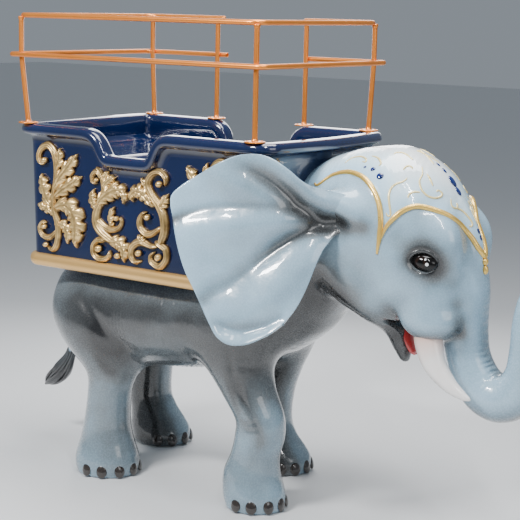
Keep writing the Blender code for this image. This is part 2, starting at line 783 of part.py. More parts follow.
def build_tail():
    rows = (
        (-0.640, 0.0, 0.800, 130.0, 0.040, 0.036, 0.036),
        (-0.690, 0.0, 0.740, 118.0, 0.030, 0.028, 0.028),
        (-0.712, 0.0, 0.640, 96.0, 0.023, 0.022, 0.022),
        (-0.718, 0.0, 0.540, 92.0, 0.020, 0.019, 0.019),
        (-0.736, 0.0, 0.440, 108.0, 0.019, 0.018, 0.018),
    )
    return limb("tail", rows, 12, 3, "elephant_skin")


def build_tail_tuft():
    rows = (
        (-0.730, 0.0, 0.462, 106.0, 0.021, 0.020, 0.020),
        (-0.752, 0.0, 0.400, 114.0, 0.040, 0.036, 0.036),
        (-0.800, 0.0, 0.330, 130.0, 0.046, 0.040, 0.040),
        (-0.862, 0.0, 0.276, 142.0, 0.032, 0.026, 0.026),
        (-0.912, 0.0, 0.242, 150.0, 0.008, 0.007, 0.007),
    )
    return limb("tail_tuft", rows, 12, 3, "tail_hair")


# Gold bead on the right half of the head, along the edge of the painted cap

BEAD_OVER_EAR = (
    (0.740, -0.186, 1.362),
    (0.812, -0.172, 1.407),
    (0.902, -0.184, 1.423),
    (0.977, -0.209, 1.408),
    (1.040, -0.235, 1.363),
    (1.067, -0.247, 1.317),
    (1.076, -0.260, 1.239),
    (1.062, -0.254, 1.133),
)
BEAD_OVER_BROW = (
    (1.060, -0.254, 1.140),
    (1.091, -0.257, 1.210),
    (1.139, -0.240, 1.277),
    (1.211, -0.196, 1.329),
    (1.263, -0.173, 1.321),
    (1.319, -0.141, 1.286),
    (1.360, -0.109, 1.238),
    (1.388, -0.060, 1.180),
    (1.402, 0.004, 1.120),
)


def drop_on(head, points, lift):
    """Move each point to the nearest place on the head and raise it along the surface."""
    placed = []
    for point in points:
        found, place, normal, _ = head.closest_point_on_mesh(point)
        placed.append(place + normal * lift)
    return placed


def tube(name, points, radius, finish_name, sides=8):
    """A round tube along points, with closed ends."""
    curve = bpy.data.curves.new(name, "CURVE")
    curve.dimensions = "3D"
    curve.bevel_depth = radius
    curve.bevel_resolution = (sides - 4) // 2
    curve.use_fill_caps = True
    spline = curve.splines.new("POLY")
    spline.points.add(len(points) - 1)
    for target, point in zip(spline.points, points):
        target.co = (*point, 1.0)
    item = bpy.data.objects.new(name, curve)
    FIGURE.objects.link(item)
    item = freeze(item)
    item.data.materials.append(finish(finish_name))
    return item


def build_bead(head):
    """The bead along the cap's edge: an arch over each ear and over each eye, all fused."""
    bead = None
    for side in (1, -1):
        for route in (BEAD_OVER_EAR, BEAD_OVER_BROW):
            points = [Vector((x, y * side, z)) for x, y, z in between(route, 2)]
            arch = tube("head_cloth_bead", drop_on(head, points, 0.0075), 0.0070, "bead_gold", 6)
            bead = join_into(bead, arch) if bead else arch
    return bead


def build_drop(head):
    """Two gold beads, a round one and a long one, that hang where the brow arches meet."""
    upper_place, lower_place = drop_on(head, [Vector((1.46, 0.0, 1.100)), Vector((1.46, 0.0, 1.071))], 0.006)
    upper = ball("forehead_drop", upper_place, (0.014, 0.014, 0.016), "bead_gold", 12)
    lower = ball("lower_drop", lower_place, (0.012, 0.012, 0.019), None, 12)
    return join_into(upper, lower)


# Rails and posts

def round_corners(points, radius):
    """A route with each inner corner replaced by a short arc of four spans."""
    route = [Vector(points[0])]
    for before, here, after in zip(points, points[1:], points[2:]):
        here = Vector(here)
        back = (Vector(before) - here).normalized()
        onward = (Vector(after) - here).normalized()
        for step in range(5):
            t = step / 4
            start = here + back * radius
            end = here + onward * radius
            route.append(start.lerp(here, t).lerp(here.lerp(end, t), t))
    route.append(Vector(points[-1]))
    return route


def build_rails():
    top = (
        (-0.186, 0.418, RAIL_TOP_Z),
        (-0.628, 0.424, RAIL_TOP_Z),
        (-0.650, -0.424, RAIL_TOP_Z),
        (0.612, -0.420, RAIL_TOP_Z),
        (0.620, 0.420, RAIL_TOP_Z),
        (0.252, 0.418, RAIL_TOP_Z),
    )
    tube("top_rail", round_corners(top, TOP_RAIL_BEND), TUBE_RADIUS, "rail_copper")
    out = 2 * TUBE_RADIUS + CLEARANCE
    mid = (
        (-0.186, 0.418 + out, RAIL_MID_Z),
        (-0.662, 0.422 + out, RAIL_MID_Z),
        (-0.686, -0.422 - out, RAIL_MID_Z),
        (0.650, -0.418 - out, RAIL_MID_Z),
        (0.658, 0.418 + out, RAIL_MID_Z),
        (0.252, 0.418 + out, RAIL_MID_Z),
    )
    tube("mid_rail", round_corners(mid, MID_RAIL_BEND), TUBE_RADIUS, "rail_copper")


def build_post(name, foot, head_place):
    """A tube standing on a round flange that is screwed to the rim."""
    base = RIM_TOP_Z + CLEARANCE
    top = RAIL_TOP_Z - TUBE_RADIUS - CLEARANCE
    points = (
        (foot[0], foot[1], base + 0.001),
        (head_place[0], head_place[1], RAIL_MID_Z),
        (head_place[0], head_place[1], top),
    )
    post = tube(name, points, TUBE_RADIUS, "rail_copper")
    work = bmesh.new()
    bmesh.ops.create_cone(work, cap_ends=True, segments=20, radius1=FLANGE_RADIUS,
                          radius2=FLANGE_RADIUS - 0.002, depth=FLANGE_THICK)
    bmesh.ops.translate(work, vec=(foot[0], foot[1], base + FLANGE_THICK / 2), verts=work.verts)
    return join_into(post, add_mesh_object(name + "_flange", work))


# Acanthus reliefs, each built of strokes: its height on the wall in millimetres, then points
# x, y and half width on the drawing; the drawing's y runs down

SCROLL_AND_LEAF = (
    (23, ((190, 1285, 20), (245, 1322, 24), (292, 1285, 28), (318, 1180, 30), (312, 1060, 32),
          (284, 960, 32), (266, 870, 30), (270, 760, 28), (288, 660, 28), (300, 560, 30),
          (294, 430, 34), (262, 325, 36), (200, 268, 34), (132, 292, 30), (100, 370, 26),
          (122, 438, 22), (165, 446, 16))),
    (28, ((140, 415, 28), (200, 415, 28))),
    (20, ((285, 540, 24), (322, 450, 42), (338, 370, 34), (330, 300, 8))),
    (25, ((280, 720, 28), (338, 610, 50), (420, 515, 60), (482, 440, 44), (526, 372, 8))),
    (24, ((276, 800, 28), (360, 728, 52), (452, 676, 58), (520, 636, 42), (578, 596, 8))),
    (24, ((262, 880, 28), (205, 810, 54), (166, 705, 62), (146, 620, 46), (128, 545, 8))),
    (20, ((270, 960, 24), (196, 905, 42), (132, 872, 34), (88, 850, 8))),
    (20, ((308, 1120, 20), (262, 1172, 26), (200, 1198, 28), (138, 1170, 26), (108, 1100, 24),
          (134, 1042, 20), (182, 1046, 14))),
    (30, ((278, 915, 34), (370, 868, 60), (462, 890, 84), (526, 980, 92), (548, 1090, 84),
          (536, 1190, 60), (504, 1312, 8))),
    (20, ((308, 1060, 24), (384, 1080, 44), (424, 1160, 48), (420, 1270, 8))),
)
UPRIGHT_SCROLL = (
    (24, ((735, 830, 24), (690, 890, 36), (668, 975, 44), (684, 1068, 46), (742, 1145, 42),
          (824, 1208, 36), (900, 1244, 14))),
    (18, ((690, 985, 20), (730, 1052, 30), (790, 1098, 32), (862, 1112, 28), (924, 1092, 24),
          (952, 1035, 20), (925, 985, 18))),
    (22, ((852, 1085, 18), (838, 1000, 34), (848, 930, 28), (872, 880, 8))),
    (29, ((708, 870, 30), (740, 805, 50), (804, 752, 64), (884, 716, 64), (950, 726, 54),
          (992, 784, 34), (966, 860, 8))),
    (22, ((728, 850, 24), (756, 750, 28), (757, 660, 28), (738, 580, 26), (708, 515, 20),
          (668, 472, 10))),
    (23, ((752, 690, 24), (800, 628, 44), (848, 602, 34), (886, 590, 8))),
    (20, ((746, 610, 18), (784, 560, 32), (812, 524, 8))),
    (21, ((730, 600, 18), (702, 540, 26), (662, 524, 26), (630, 562, 24), (638, 622, 20),
          (680, 620, 18))),
    (22, ((700, 890, 26), (652, 845, 44), (634, 776, 42), (650, 690, 8))),
    (24, ((785, 1195, 18), (742, 1214, 26), (690, 1216, 28), (648, 1265, 28), (650, 1346, 28),
          (700, 1400, 28), (770, 1406, 26), (822, 1370, 22), (826, 1318, 14))),
    (29, ((655, 1300, 32), (740, 1300, 32))),
    (27, ((826, 1240, 28), (900, 1236, 54), (960, 1272, 58), (990, 1345, 46), (984, 1446, 8))),
)
TALL_SCROLL = (
    (26, ((1330, 1312, 24), (1362, 1225, 34), (1386, 1135, 40), (1374, 1010, 42), (1326, 900, 40),
          (1256, 800, 36), (1214, 710, 32), (1218, 635, 30), (1272, 578, 30), (1346, 580, 28),
          (1400, 642, 24), (1372, 700, 22), (1325, 692, 28))),
    (28, ((1276, 905, 28), (1216, 830, 50), (1150, 770, 62), (1092, 748, 54), (1044, 786, 38),
          (1052, 856, 8))),
    (22, ((1220, 740, 24), (1182, 684, 40), (1138, 618, 8))),
    (22, ((1346, 965, 24), (1366, 890, 42), (1392, 840, 36), (1424, 788, 8))),
    (24, ((1366, 1104, 18), (1316, 1134, 22), (1262, 1166, 28), (1200, 1172, 32), (1140, 1116, 32),
          (1124, 1040, 28), (1150, 985, 24), (1205, 1000, 28))),
    (23, ((1318, 1296, 18), (1244, 1290, 24), (1182, 1262, 32), (1120, 1246, 34), (1050, 1286, 32),
          (1030, 1366, 28), (1070, 1440, 22), (1146, 1436, 12))),
    (23, ((1180, 1270, 24), (1146, 1222, 38), (1104, 1172, 8))),
    (27, ((1040, 1358, 28), (1150, 1358, 28))),
    (24, ((1286, 1240, 18), (1350, 1288, 30), (1404, 1332, 30), (1406, 1426, 30), (1340, 1492, 30),
          (1262, 1452, 26), (1246, 1386, 18), (1288, 1348, 12))),
    (27, ((1410, 1395, 30), (1310, 1400, 34))),
    (20, ((1310, 1262, 20), (1330, 1312, 24))),
)
SMALL_LEAF = (
    (28, ((60, 20, 30), (66, 120, 60), (60, 240, 62), (70, 360, 8))),
    (22, ((60, 60, 22), (120, 110, 44), (170, 190, 8))),
    (22, ((60, 60, 22), (0, 110, 44), (-45, 190, 8))),
)
STROKE_WIDTH_SCALE = 0.00045
STROKE_FULL_HALF_WIDTH = 0.013
STROKE_TOP_SHARE = 0.55
RELIEF_BACK = -0.002

# The three drawings: x of the left edge, y of the foot there, slope of the foot, metres to
# one unit across and up
SCROLL_AND_LEAF_SCALE = (95, 1335, 0.146, 0.000519, 0.0004287)
UPRIGHT_SCROLL_SCALE = (610, 1387, 0.146, 0.000506, 0.0004188)
TALL_SCROLL_SCALE = (1020, 1457, 0.146, 0.000500, 0.0004234)
SMALL_LEAF_SCALE = (0, 0, 0.0, 0.00050, -0.00052)


def stroke_rings(stroke, scale):
    """Sections of one stroke as across, height and distance from the wall."""
    peak, route = stroke
    left, foot, slope, wide, tall = scale
    middle = []
    for x, y, _ in route:
        middle.append(Vector(((x - left) * wide, (foot + slope * (x - left) - y) * tall)))
    rings = []
    for index, (_, _, width) in enumerate(route):
        ahead = middle[min(index + 1, len(middle) - 1)] - middle[max(index - 1, 0)]
        aside = Vector((-ahead.y, ahead.x)).normalized()
        half = width * STROKE_WIDTH_SCALE
        height = 0.001 * peak * (0.52 + 0.40 * min(half / STROKE_FULL_HALF_WIDTH, 1.0))
        rings.append([
            (*(middle[index] - aside * half), RELIEF_BACK),
            (*(middle[index] - aside * half * STROKE_TOP_SHARE), height),
            (*(middle[index] + aside * half * STROKE_TOP_SHARE), height),
            (*(middle[index] + aside * half), RELIEF_BACK),
        ])
    return rings


def relief(name, strokes, scale, start_x, way, low_z, side):
    """A relief on a side wall: its strokes fused, then cut flat where they meet the wall."""
    item = None
    for number, stroke in enumerate(strokes):
        rings = []
        for ring in stroke_rings(stroke, scale):
            placed = []
            for across, height, out in ring:
                back = out - 0.0001 * number if out < 0 else out
                placed.append((start_x + way * across, side * (TUB_HALF_WIDTH + back), low_z + height))
            rings.append(placed)
        piece = skin_rings(name + "_stroke", rings, "antique_gold")
        item = piece if item is None else join_into(item, piece)
    item.name = name
    near = side * (TUB_HALF_WIDTH + CLEARANCE)
    far = side * (TUB_HALF_WIDTH + 2 * ORNAMENT_DEPTH)
    slab = box_cutter(name + "_slab", (-1.0, min(near, far), 0.8), (1.0, max(near, far), 1.6))
    return boolean(item, slab, "INTERSECT")


def build_reliefs():
    low = 0.978
    short_low = low + 0.008
    relief("relief_right_1", SCROLL_AND_LEAF, SCROLL_AND_LEAF_SCALE, -0.551, 1, low, -1)
    relief("relief_right_2", UPRIGHT_SCROLL, UPRIGHT_SCROLL_SCALE, -0.250, 1, short_low, -1)
    relief("relief_right_3", TALL_SCROLL, TALL_SCROLL_SCALE, -0.030, 1, short_low, -1)
    relief("relief_right_4", SCROLL_AND_LEAF, SCROLL_AND_LEAF_SCALE, 0.490, -1, low, -1)
    relief("relief_left_1", SCROLL_AND_LEAF, SCROLL_AND_LEAF_SCALE, -0.551, 1, low, 1)
    relief("relief_left_2", SMALL_LEAF, SMALL_LEAF_SCALE, -0.250, 1, low + 0.10, 1)
    relief("relief_left_3", SCROLL_AND_LEAF, SCROLL_AND_LEAF_SCALE, 0.520, -1, low, 1)


def build_eye(name, side):
    return ball(name, (1.236, side * 0.196, 1.118), (0.027, 0.020, 0.020), "eye_black", 14)


def main():
    torso = build_torso()
    head = build_head()
    tub = build_tub()
    build_floor()
    build_bench("bench_rear", -1.0, BENCH_REAR_EDGE)
    build_bench("bench_front", BENCH_FRONT_EDGE, 1.0)
    build_mouldings()

    for name, rows in LEG_ROWS.items():
        leg = build_leg(name, rows)
        trim(leg, torso)

    trunk = trim(build_trunk(), head)
    jaw = trim(build_jaw(), head)
    jaw = trim(jaw, torso)
    tongue = trim(build_tongue(), head)
    trim(tongue, jaw)
    right_tusk = trim(build_tusk("tusk_right"), head)
    right_tusk = trim(right_tusk, trunk)
    mirrored(right_tusk, "tusk_left")
    trim(build_ear("ear_right", -1, 0.0), head, 2 * CLEARANCE)
    trim(build_ear("ear_left", 1, LEFT_EAR_DROP), head, 2 * CLEARANCE)
    for name, side in (("eye_right", -1), ("eye_left", 1)):
        trim(build_eye(name, side), head)
    tail = trim(build_tail(), torso)
    trim(build_tail_tuft(), tail)
    bead = build_bead(head)
    bead = trim(bead, head)
    drop = trim(build_drop(head), head)
    trim(drop, bead)

    build_rails()
    for name, (foot, top) in POSTS.items():
        build_post(name, foot, top)
    build_reliefs()

    frame = bpy.data.objects.new("figure_frame", None)
    FIGURE.objects.link(frame)
    frame.location = (FIGURE_SHIFT_X, 0.0, 0.0)
    for item in list(FIGURE.objects):
        if item is not frame:
            item.parent = frame


main()
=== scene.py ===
import math

import bpy
import numpy as np
from mathutils import Matrix, Vector
from mathutils.bvhtree import BVHTree


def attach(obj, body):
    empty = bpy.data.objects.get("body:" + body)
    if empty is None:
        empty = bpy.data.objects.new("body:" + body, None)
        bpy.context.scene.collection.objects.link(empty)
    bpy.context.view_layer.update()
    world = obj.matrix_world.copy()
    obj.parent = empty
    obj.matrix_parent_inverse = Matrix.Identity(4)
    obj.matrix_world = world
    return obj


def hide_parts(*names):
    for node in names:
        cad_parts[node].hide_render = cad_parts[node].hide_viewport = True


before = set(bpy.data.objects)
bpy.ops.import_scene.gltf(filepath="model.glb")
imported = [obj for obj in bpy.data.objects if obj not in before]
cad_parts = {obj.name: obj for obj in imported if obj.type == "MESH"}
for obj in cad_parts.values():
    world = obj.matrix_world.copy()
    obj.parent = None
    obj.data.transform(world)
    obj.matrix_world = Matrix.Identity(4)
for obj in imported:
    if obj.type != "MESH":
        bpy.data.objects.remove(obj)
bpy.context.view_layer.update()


# Camera, floor and studio light
# The camera stands in front of the figure's right side, a little above its eye, level to
# within a degree or so. Lengths below are measured from the middle of the tub.

FIGURE_X = -0.407
IMAGE_SIDE, LENS_PIXELS, SENSOR = 520, 1511.5, 36.0
VIEW_TURN, VIEW_RISE, VIEW_ROLL = math.radians(35.81), math.radians(9.74), math.radians(1.27)
VIEW_DISTANCE = 6.383
VIEW_TARGET = Vector((0.340 + FIGURE_X, 0.0, 0.992))

to_camera = Vector((math.sin(VIEW_TURN) * math.cos(VIEW_RISE),
                    -math.cos(VIEW_TURN) * math.cos(VIEW_RISE), math.sin(VIEW_RISE)))
level_right = (-to_camera).cross(Vector((0, 0, 1))).normalized()
level_up = level_right.cross(-to_camera)
rolled_right = level_right * math.cos(VIEW_ROLL) + level_up * math.sin(VIEW_ROLL)
rolled_up = level_up * math.cos(VIEW_ROLL) - level_right * math.sin(VIEW_ROLL)
camera_data = bpy.data.cameras.new("studio_camera")
camera_data.sensor_width = SENSOR
camera_data.lens = LENS_PIXELS / IMAGE_SIDE * SENSOR
camera = bpy.data.objects.new("studio_camera", camera_data)
bpy.context.scene.collection.objects.link(camera)
stand = Matrix((rolled_right, rolled_up, to_camera)).transposed().to_4x4()
camera.matrix_world = Matrix.Translation(VIEW_TARGET + to_camera * VIEW_DISTANCE) @ stand
bpy.context.scene.camera = camera


def new_finish(name):
    """A material with its node tree and its Principled BSDF, ready for more nodes."""
    finish = bpy.data.materials.new(name)
    finish.use_nodes = True
    return finish, finish.node_tree, finish.node_tree.nodes["Principled BSDF"]


def feed(tree, node, inputs):
    """Give a node's inputs plain values, or link them to the output sockets that feed them."""
    for key, value in inputs.items():
        if isinstance(value, bpy.types.NodeSocket):
            tree.links.new(value, node.inputs[key])
        else:
            node.inputs[key].default_value = value


def lay_mesh(name, shape, finish, sharp=None, marks=None):
    """A piece from points, quads and perhaps triangles: smooth faces, sharp edges above an
    angle, and marks, one float attribute for each name, with a value at every point. A quad
    that names a point twice becomes a triangle."""
    points, quads, tris = (*shape, [])[:3]
    mesh = bpy.data.meshes.new(name)
    points = np.asarray(points, np.float32).reshape(-1, 3) + np.float32([FIGURE_X, 0, 0])
    quads, tris = np.asarray(quads, np.int32).reshape(-1, 4), np.asarray(tris, np.int32).reshape(-1, 3)
    twice = quads == np.roll(quads, -1, 1)
    folded = twice.any(1)
    tris = np.concatenate([tris, quads[folded][~twice[folded]].reshape(-1, 3)])
    quads = quads[~folded]
    corners = np.concatenate([quads.ravel(), tris.ravel()])
    starts = np.concatenate([np.arange(len(quads)) * 4, 4 * len(quads) + np.arange(len(tris)) * 3])
    mesh.vertices.add(len(points))
    mesh.vertices.foreach_set("co", points.ravel())
    mesh.loops.add(len(corners))
    mesh.loops.foreach_set("vertex_index", corners)
    mesh.polygons.add(len(starts))
    mesh.polygons.foreach_set("loop_start", starts.astype(np.int32))
    mesh.update(calc_edges=True)
    mesh.shade_smooth()
    if sharp is not None:
        mesh.set_sharp_from_angle(angle=math.radians(sharp))
    for key, values in (marks or {}).items():
        mark = mesh.attributes.new(key, "FLOAT", "POINT")
        mark.data.foreach_set("value", np.asarray(values, np.float32).ravel())
    mesh.materials.append(finish)
    piece = bpy.data.objects.new(name, mesh)
    bpy.context.scene.collection.objects.link(piece)
    return piece


floor_finish, tree, surface = new_finish("studio_floor")
feed(tree, surface, {"Base Color": (0.74, 0.75, 0.76, 1), "Roughness": 0.62})
FLOOR_HALF = 30.0
floor_corners = FLOOR_HALF * np.array([(-1, -1, 0), (1, -1, 0), (1, 1, 0), (-1, 1, 0)])
floor = lay_mesh("studio_floor", (floor_corners, [(0, 1, 2, 3)]), floor_finish)

world = bpy.data.worlds.new("studio_air")
world.use_nodes = True
feed(world.node_tree, world.node_tree.nodes["Background"], {"Color": (0.74, 0.83, 0.93, 1), "Strength": 0.33})
bpy.context.scene.world = world


def softbox(name, offset, size, power, size_y=None):
    """A rectangular studio light set off from the middle of the scene and turned towards it."""
    data = bpy.data.lights.new(name, "AREA")
    data.shape = "RECTANGLE"
    data.size, data.size_y = size, size_y or size
    data.energy = power
    light = bpy.data.objects.new(name, data)
    light.location = Vector((0.0, 0.0, 1.0)) + offset
    light.rotation_euler = (-offset).to_track_quat("-Z", "Y").to_euler()
    bpy.context.scene.collection.objects.link(light)


softbox("key_light", to_camera * 2.2 - level_right * 2.6 + Vector((0, 0, 2.6)), 1.2, 230, 0.40)
softbox("strip_light", to_camera * 2.6 + level_right * 0.5 + Vector((0, 0, 2.5)), 0.12, 46, 1.5)
softbox("fill_light", to_camera * 3.4 + level_right * 2.8 + Vector((0, 0, 1.2)), 2.0, 36)
softbox("top_light", Vector((0.2, 0.4, 3.6)), 2.2, 190)
softbox("back_light", Vector((0, 0, 1.8)) - to_camera * 3.0, 2.0, 60)


# Passenger tub
# A moulded fibreglass tub, open at the top, in glossy navy paint. Its rim is rolled outwards,
# dips into an arm notch on the right side and runs down round a doorway on the left.

TUB_REAR, TUB_FRONT, TUB_HALF_WIDTH = -0.600, 0.640, 0.400
TUB_CORNER, TUB_FRONT_BOW, TUB_REAR_FLARE = 0.046, 0.030, 0.026
TUB_WALL = 0.030
TUB_BASE_Z, TUB_FLOOR_Z, RIM_LOW_Z, RIM_HEIGHT = 0.915, 0.985, 1.487, 0.046
DOOR_FROM_X, DOOR_TO_X, SILL_PATH_Z = -0.180, 0.250, 0.992


def through(stations, count):
    """Catmull-Rom curve: each span between two stations is the cubic whose end slopes are
    half the chord between the stations on either side."""
    p = np.asarray(stations, float)
    p = np.vstack([2 * p[:1] - p[1:2], p, 2 * p[-1:] - p[-2:-1]])
    place = np.linspace(0, len(stations) - 1 - 1e-9, count)
    i = place.astype(int)
    f = (place - i)[:, None]
    a, b, c, d = p[i], p[i + 1], p[i + 2], p[i + 3]
    return 0.5 * (2 * b + (c - a) * f + (2 * a - 5 * b + 4 * c - d) * f ** 2
                  + (3 * b - a - 3 * c + d) * f ** 3)


def running_length(points):
    """Length along a line in a plane from its start to each of its points."""
    return np.concatenate([[0], np.cumsum(np.hypot(*np.diff(points[:, :2], axis=0).T))])


def tub_outline():
    """The outer outline from above: straight sides, quarter-circle corners and a bowed front,
    from the middle of the doorway over the front, the right side and the rear. Gives running
    length, x, y and the outward direction."""
    door = (DOOR_FROM_X + DOOR_TO_X) / 2
    turn = np.radians(np.linspace(0, 90, 16))
    inner_y = TUB_HALF_WIDTH - TUB_CORNER
    parts = []
    for x, y, start in ((TUB_FRONT, 1, 90), (TUB_FRONT, -1, 0), (TUB_REAR, -1, -90), (TUB_REAR, 1, -180)):
        angle = math.radians(start) - turn
        centre_x = x - math.copysign(TUB_CORNER, x)
        parts.append(np.stack([centre_x + TUB_CORNER * np.cos(angle),
                               y * inner_y + TUB_CORNER * np.sin(angle), np.cos(angle), np.sin(angle)], 1))
    ends = [np.array([[door, TUB_HALF_WIDTH, 0, 1.0]])]
    loop = np.vstack(ends + parts + ends)
    length = running_length(loop)
    even = np.unique(np.concatenate([length, np.linspace(0, length[-1], 700)]))
    x, y, nx, ny = (np.interp(even, length, loop[:, k]) for k in range(4))
    size = np.hypot(nx, ny)
    front = np.clip((x - (TUB_FRONT - TUB_CORNER)) / TUB_CORNER, 0, 1)
    x = x + TUB_FRONT_BOW * np.clip(1 - (y / TUB_HALF_WIDTH) ** 2, 0, 1) * front
    return even, x, y, nx / size, ny / size


OUTLINE = tub_outline()
AROUND = OUTLINE[0][-1]


def tub_point(along, reach, z):
    """Place on the tub at a running length, a reach outwards from the wall face and a height.
    The rear wall leans back in step with the height."""
    along, reach, z = np.broadcast_arrays(along, reach, z)
    x, y, nx, ny = (np.interp(along % AROUND, OUTLINE[0], column) for column in OUTLINE[1:])
    share = (z - TUB_BASE_Z) / (RIM_LOW_Z - TUB_BASE_Z)
    towards_rear = np.clip((TUB_REAR + 2 * TUB_CORNER - x) / (2 * TUB_CORNER), 0, 1)
    return np.stack([x + nx * reach - TUB_REAR_FLARE * share * towards_rear, y + ny * reach, z], -1)


def grid_faces(rows, columns, wrap_rows=False, wrap_columns=False):
    """Quads between neighbouring rows and columns of a grid of points."""
    r = np.arange(rows if wrap_rows else rows - 1)
    c = np.arange(columns if wrap_columns else columns - 1)
    r, c = np.meshgrid(r, c, indexing="ij")
    r1, c1 = (r + 1) % rows, (c + 1) % columns
    return np.stack([r * columns + c, r1 * columns + c, r1 * columns + c1, r * columns + c1], -1).reshape(-1, 4)


def step_curve(x, low, high):
    """Smooth step from 0 to 1 between low and high: 3t^2 - 2t^3."""
    t = np.clip((x - low) / (high - low), 0, 1)
    return t * t * (3 - 2 * t)


def length_at(x, side):
    """Running length at which the outline's straight side passes x."""
    even, xs, ys = OUTLINE[:3]
    on_side = (ys * side > TUB_HALF_WIDTH - 0.0005)
    pick = np.argsort(xs[on_side])
    return np.interp(x, xs[on_side][pick], even[on_side][pick])


NOTCH_DEPTH = 0.108
NOTCH_REAR, NOTCH_FRONT = (-0.200, 0.033), (0.120, 0.026)


def notch_drop(along):
    """Depth of the arm notch below the rim: at each end a step of half of 1 + tanh, given by
    its middle and its run, the rear one the longer."""
    x, y = (np.interp(along % AROUND, OUTLINE[0], column) for column in OUTLINE[1:3])
    rear, front = (np.tanh((x - middle) / run) for middle, run in (NOTCH_REAR, NOTCH_FRONT))
    return np.where(y < -TUB_HALF_WIDTH + 0.002, NOTCH_DEPTH * (1 + rear) * (1 - front) / 4, 0.0)


def add_node(tree, kind, inputs=None, **settings):
    """Add a shader node with its settings and inputs."""
    node = tree.nodes.new("ShaderNode" + kind)
    for key, value in settings.items():
        setattr(node, key, value)
    feed(tree, node, inputs or {})
    return node


def object_place(tree):
    """The place on the piece, in its Object coordinates."""
    return add_node(tree, "TexCoord").outputs["Object"]


def noise(tree, scale, detail, where=None, **more):
    """The grey value of a noise texture, on Object coordinates if no other place is given."""
    inputs = {"Vector": where or object_place(tree), "Scale": scale, "Detail": detail, **more}
    return add_node(tree, "TexNoise", inputs).outputs["Fac"]


def mapped(tree, value, low=0.0, high=1.0, start=0.0, end=1.0):
    """A value that goes from low to high while the given one goes from start to end."""
    inputs = {"Value": value, "From Min": start, "From Max": end, "To Min": low, "To Max": high}
    return add_node(tree, "MapRange", inputs).outputs["Result"]


def mixed(tree, share, a, b, **settings):
    """The colour between a and b that a share picks."""
    inputs = {"Factor": share, "A": a, "B": b}
    return add_node(tree, "Mix", inputs, data_type="RGBA", **settings).outputs["Result"]


def bumped(tree, height, strength, distance, **more):
    """The normal of a surface with a height pressed into it."""
    inputs = {"Height": height, "Strength": strength, "Distance": distance, **more}
    return add_node(tree, "Bump", inputs).outputs["Normal"]


navy, tree, surface = new_finish("tub_blue")
feed(tree, surface, {
    "Base Color": mixed(tree, noise(tree, 3.0, 3.0), (0.0013, 0.0066, 0.036, 1), (0.0028, 0.0130, 0.066, 1)),
    "Roughness": mapped(tree, noise(tree, 46.0, 5.0), 0.13, 0.24, 0.3, 0.8),
    "Normal": bumped(tree, noise(tree, 9.0, 2.0), 0.16, 0.012), "Coat Weight": 1.0, "Coat Roughness": 0.03})

# The wall: a closed section, outer face, top and inner face, carried round the outline.
lengths = OUTLINE[0][:-1]
door_from, door_to = length_at(DOOR_TO_X, 1), length_at(DOOR_FROM_X, 1)
HAIR = 1e-4
lengths = np.unique(np.concatenate([lengths, [door_from - HAIR, door_from + HAIR, door_to - HAIR, door_to + HAIR]]))
in_door = (lengths < door_from) | (lengths > door_to)
wall_top = np.where(in_door, SILL_PATH_Z, RIM_LOW_Z - notch_drop(lengths)) + 0.006
rise = np.array([0, 0, 0.12, 0.5, 0.88, 1, 1, 0.5])
reach = -TUB_WALL * np.array([1, 0, 0, 0, 0, 0, 1, 1])
heights = TUB_BASE_Z + (wall_top[:, None] - TUB_BASE_Z) * rise
wall = tub_point(lengths[:, None], reach[None, :], heights)
wall_faces = grid_faces(len(lengths), len(reach), True, True)

# The rolled rim: the section is carried along the wall's upper edge and stays square to it,
# down the jambs of the doorway and along its sill.
ROLL = through([(0.0006, -0.040), (0.003, -0.022), (0.012, -0.006), (0.030, -0.001), (0.042, 0.006),
                (0.0455, 0.020), (0.041, 0.035), (0.028, 0.0445), (0.010, 0.0460), (-0.010, 0.0452),
                (-0.024, 0.039), (-0.031, 0.022), (-0.0330, -0.006), (-0.0306, -0.040)], 44)
ROLL = np.vstack([ROLL, [(-0.026, -0.043), (-0.004, -0.043)]])
DOOR_BEND = 0.055


def rim_path():
    """Upper edge of the wall as running length and height, with rounded doorway corners."""
    bend = np.radians(np.linspace(0, 90, 12))
    s0, s1 = door_from, door_to - AROUND
    top, sill = RIM_LOW_Z, SILL_PATH_Z
    small = 0.6 * DOOR_BEND
    open_side = lengths[(lengths > s0 + DOOR_BEND) & (lengths < door_to - DOOR_BEND)]
    rounded = [
        (np.linspace(s1 + small, s0 - small, 30), np.full(30, sill)),
        (s0 - small + small * np.sin(bend), sill + small - small * np.cos(bend)),
        (np.full(20, s0), np.linspace(sill + small, top - DOOR_BEND, 22)[1:-1]),
        (s0 + DOOR_BEND - DOOR_BEND * np.cos(bend), top - DOOR_BEND + DOOR_BEND * np.sin(bend)),
        (open_side, top - notch_drop(open_side)),
        (AROUND + s1 - DOOR_BEND + DOOR_BEND * np.sin(bend), top - DOOR_BEND + DOOR_BEND * np.cos(bend)),
        (np.full(20, AROUND + s1), np.linspace(top - DOOR_BEND, sill + small, 22)[1:-1]),
        (AROUND + s1 + small - small * np.cos(bend), sill + small - small * np.sin(bend)),
    ]
    along = np.concatenate([part[0] for part in rounded])
    height = np.concatenate([part[1] for part in rounded])
    keep = np.concatenate([[True], np.hypot(np.diff(along), np.diff(height)) > 1e-5])
    return along[keep], height[keep]


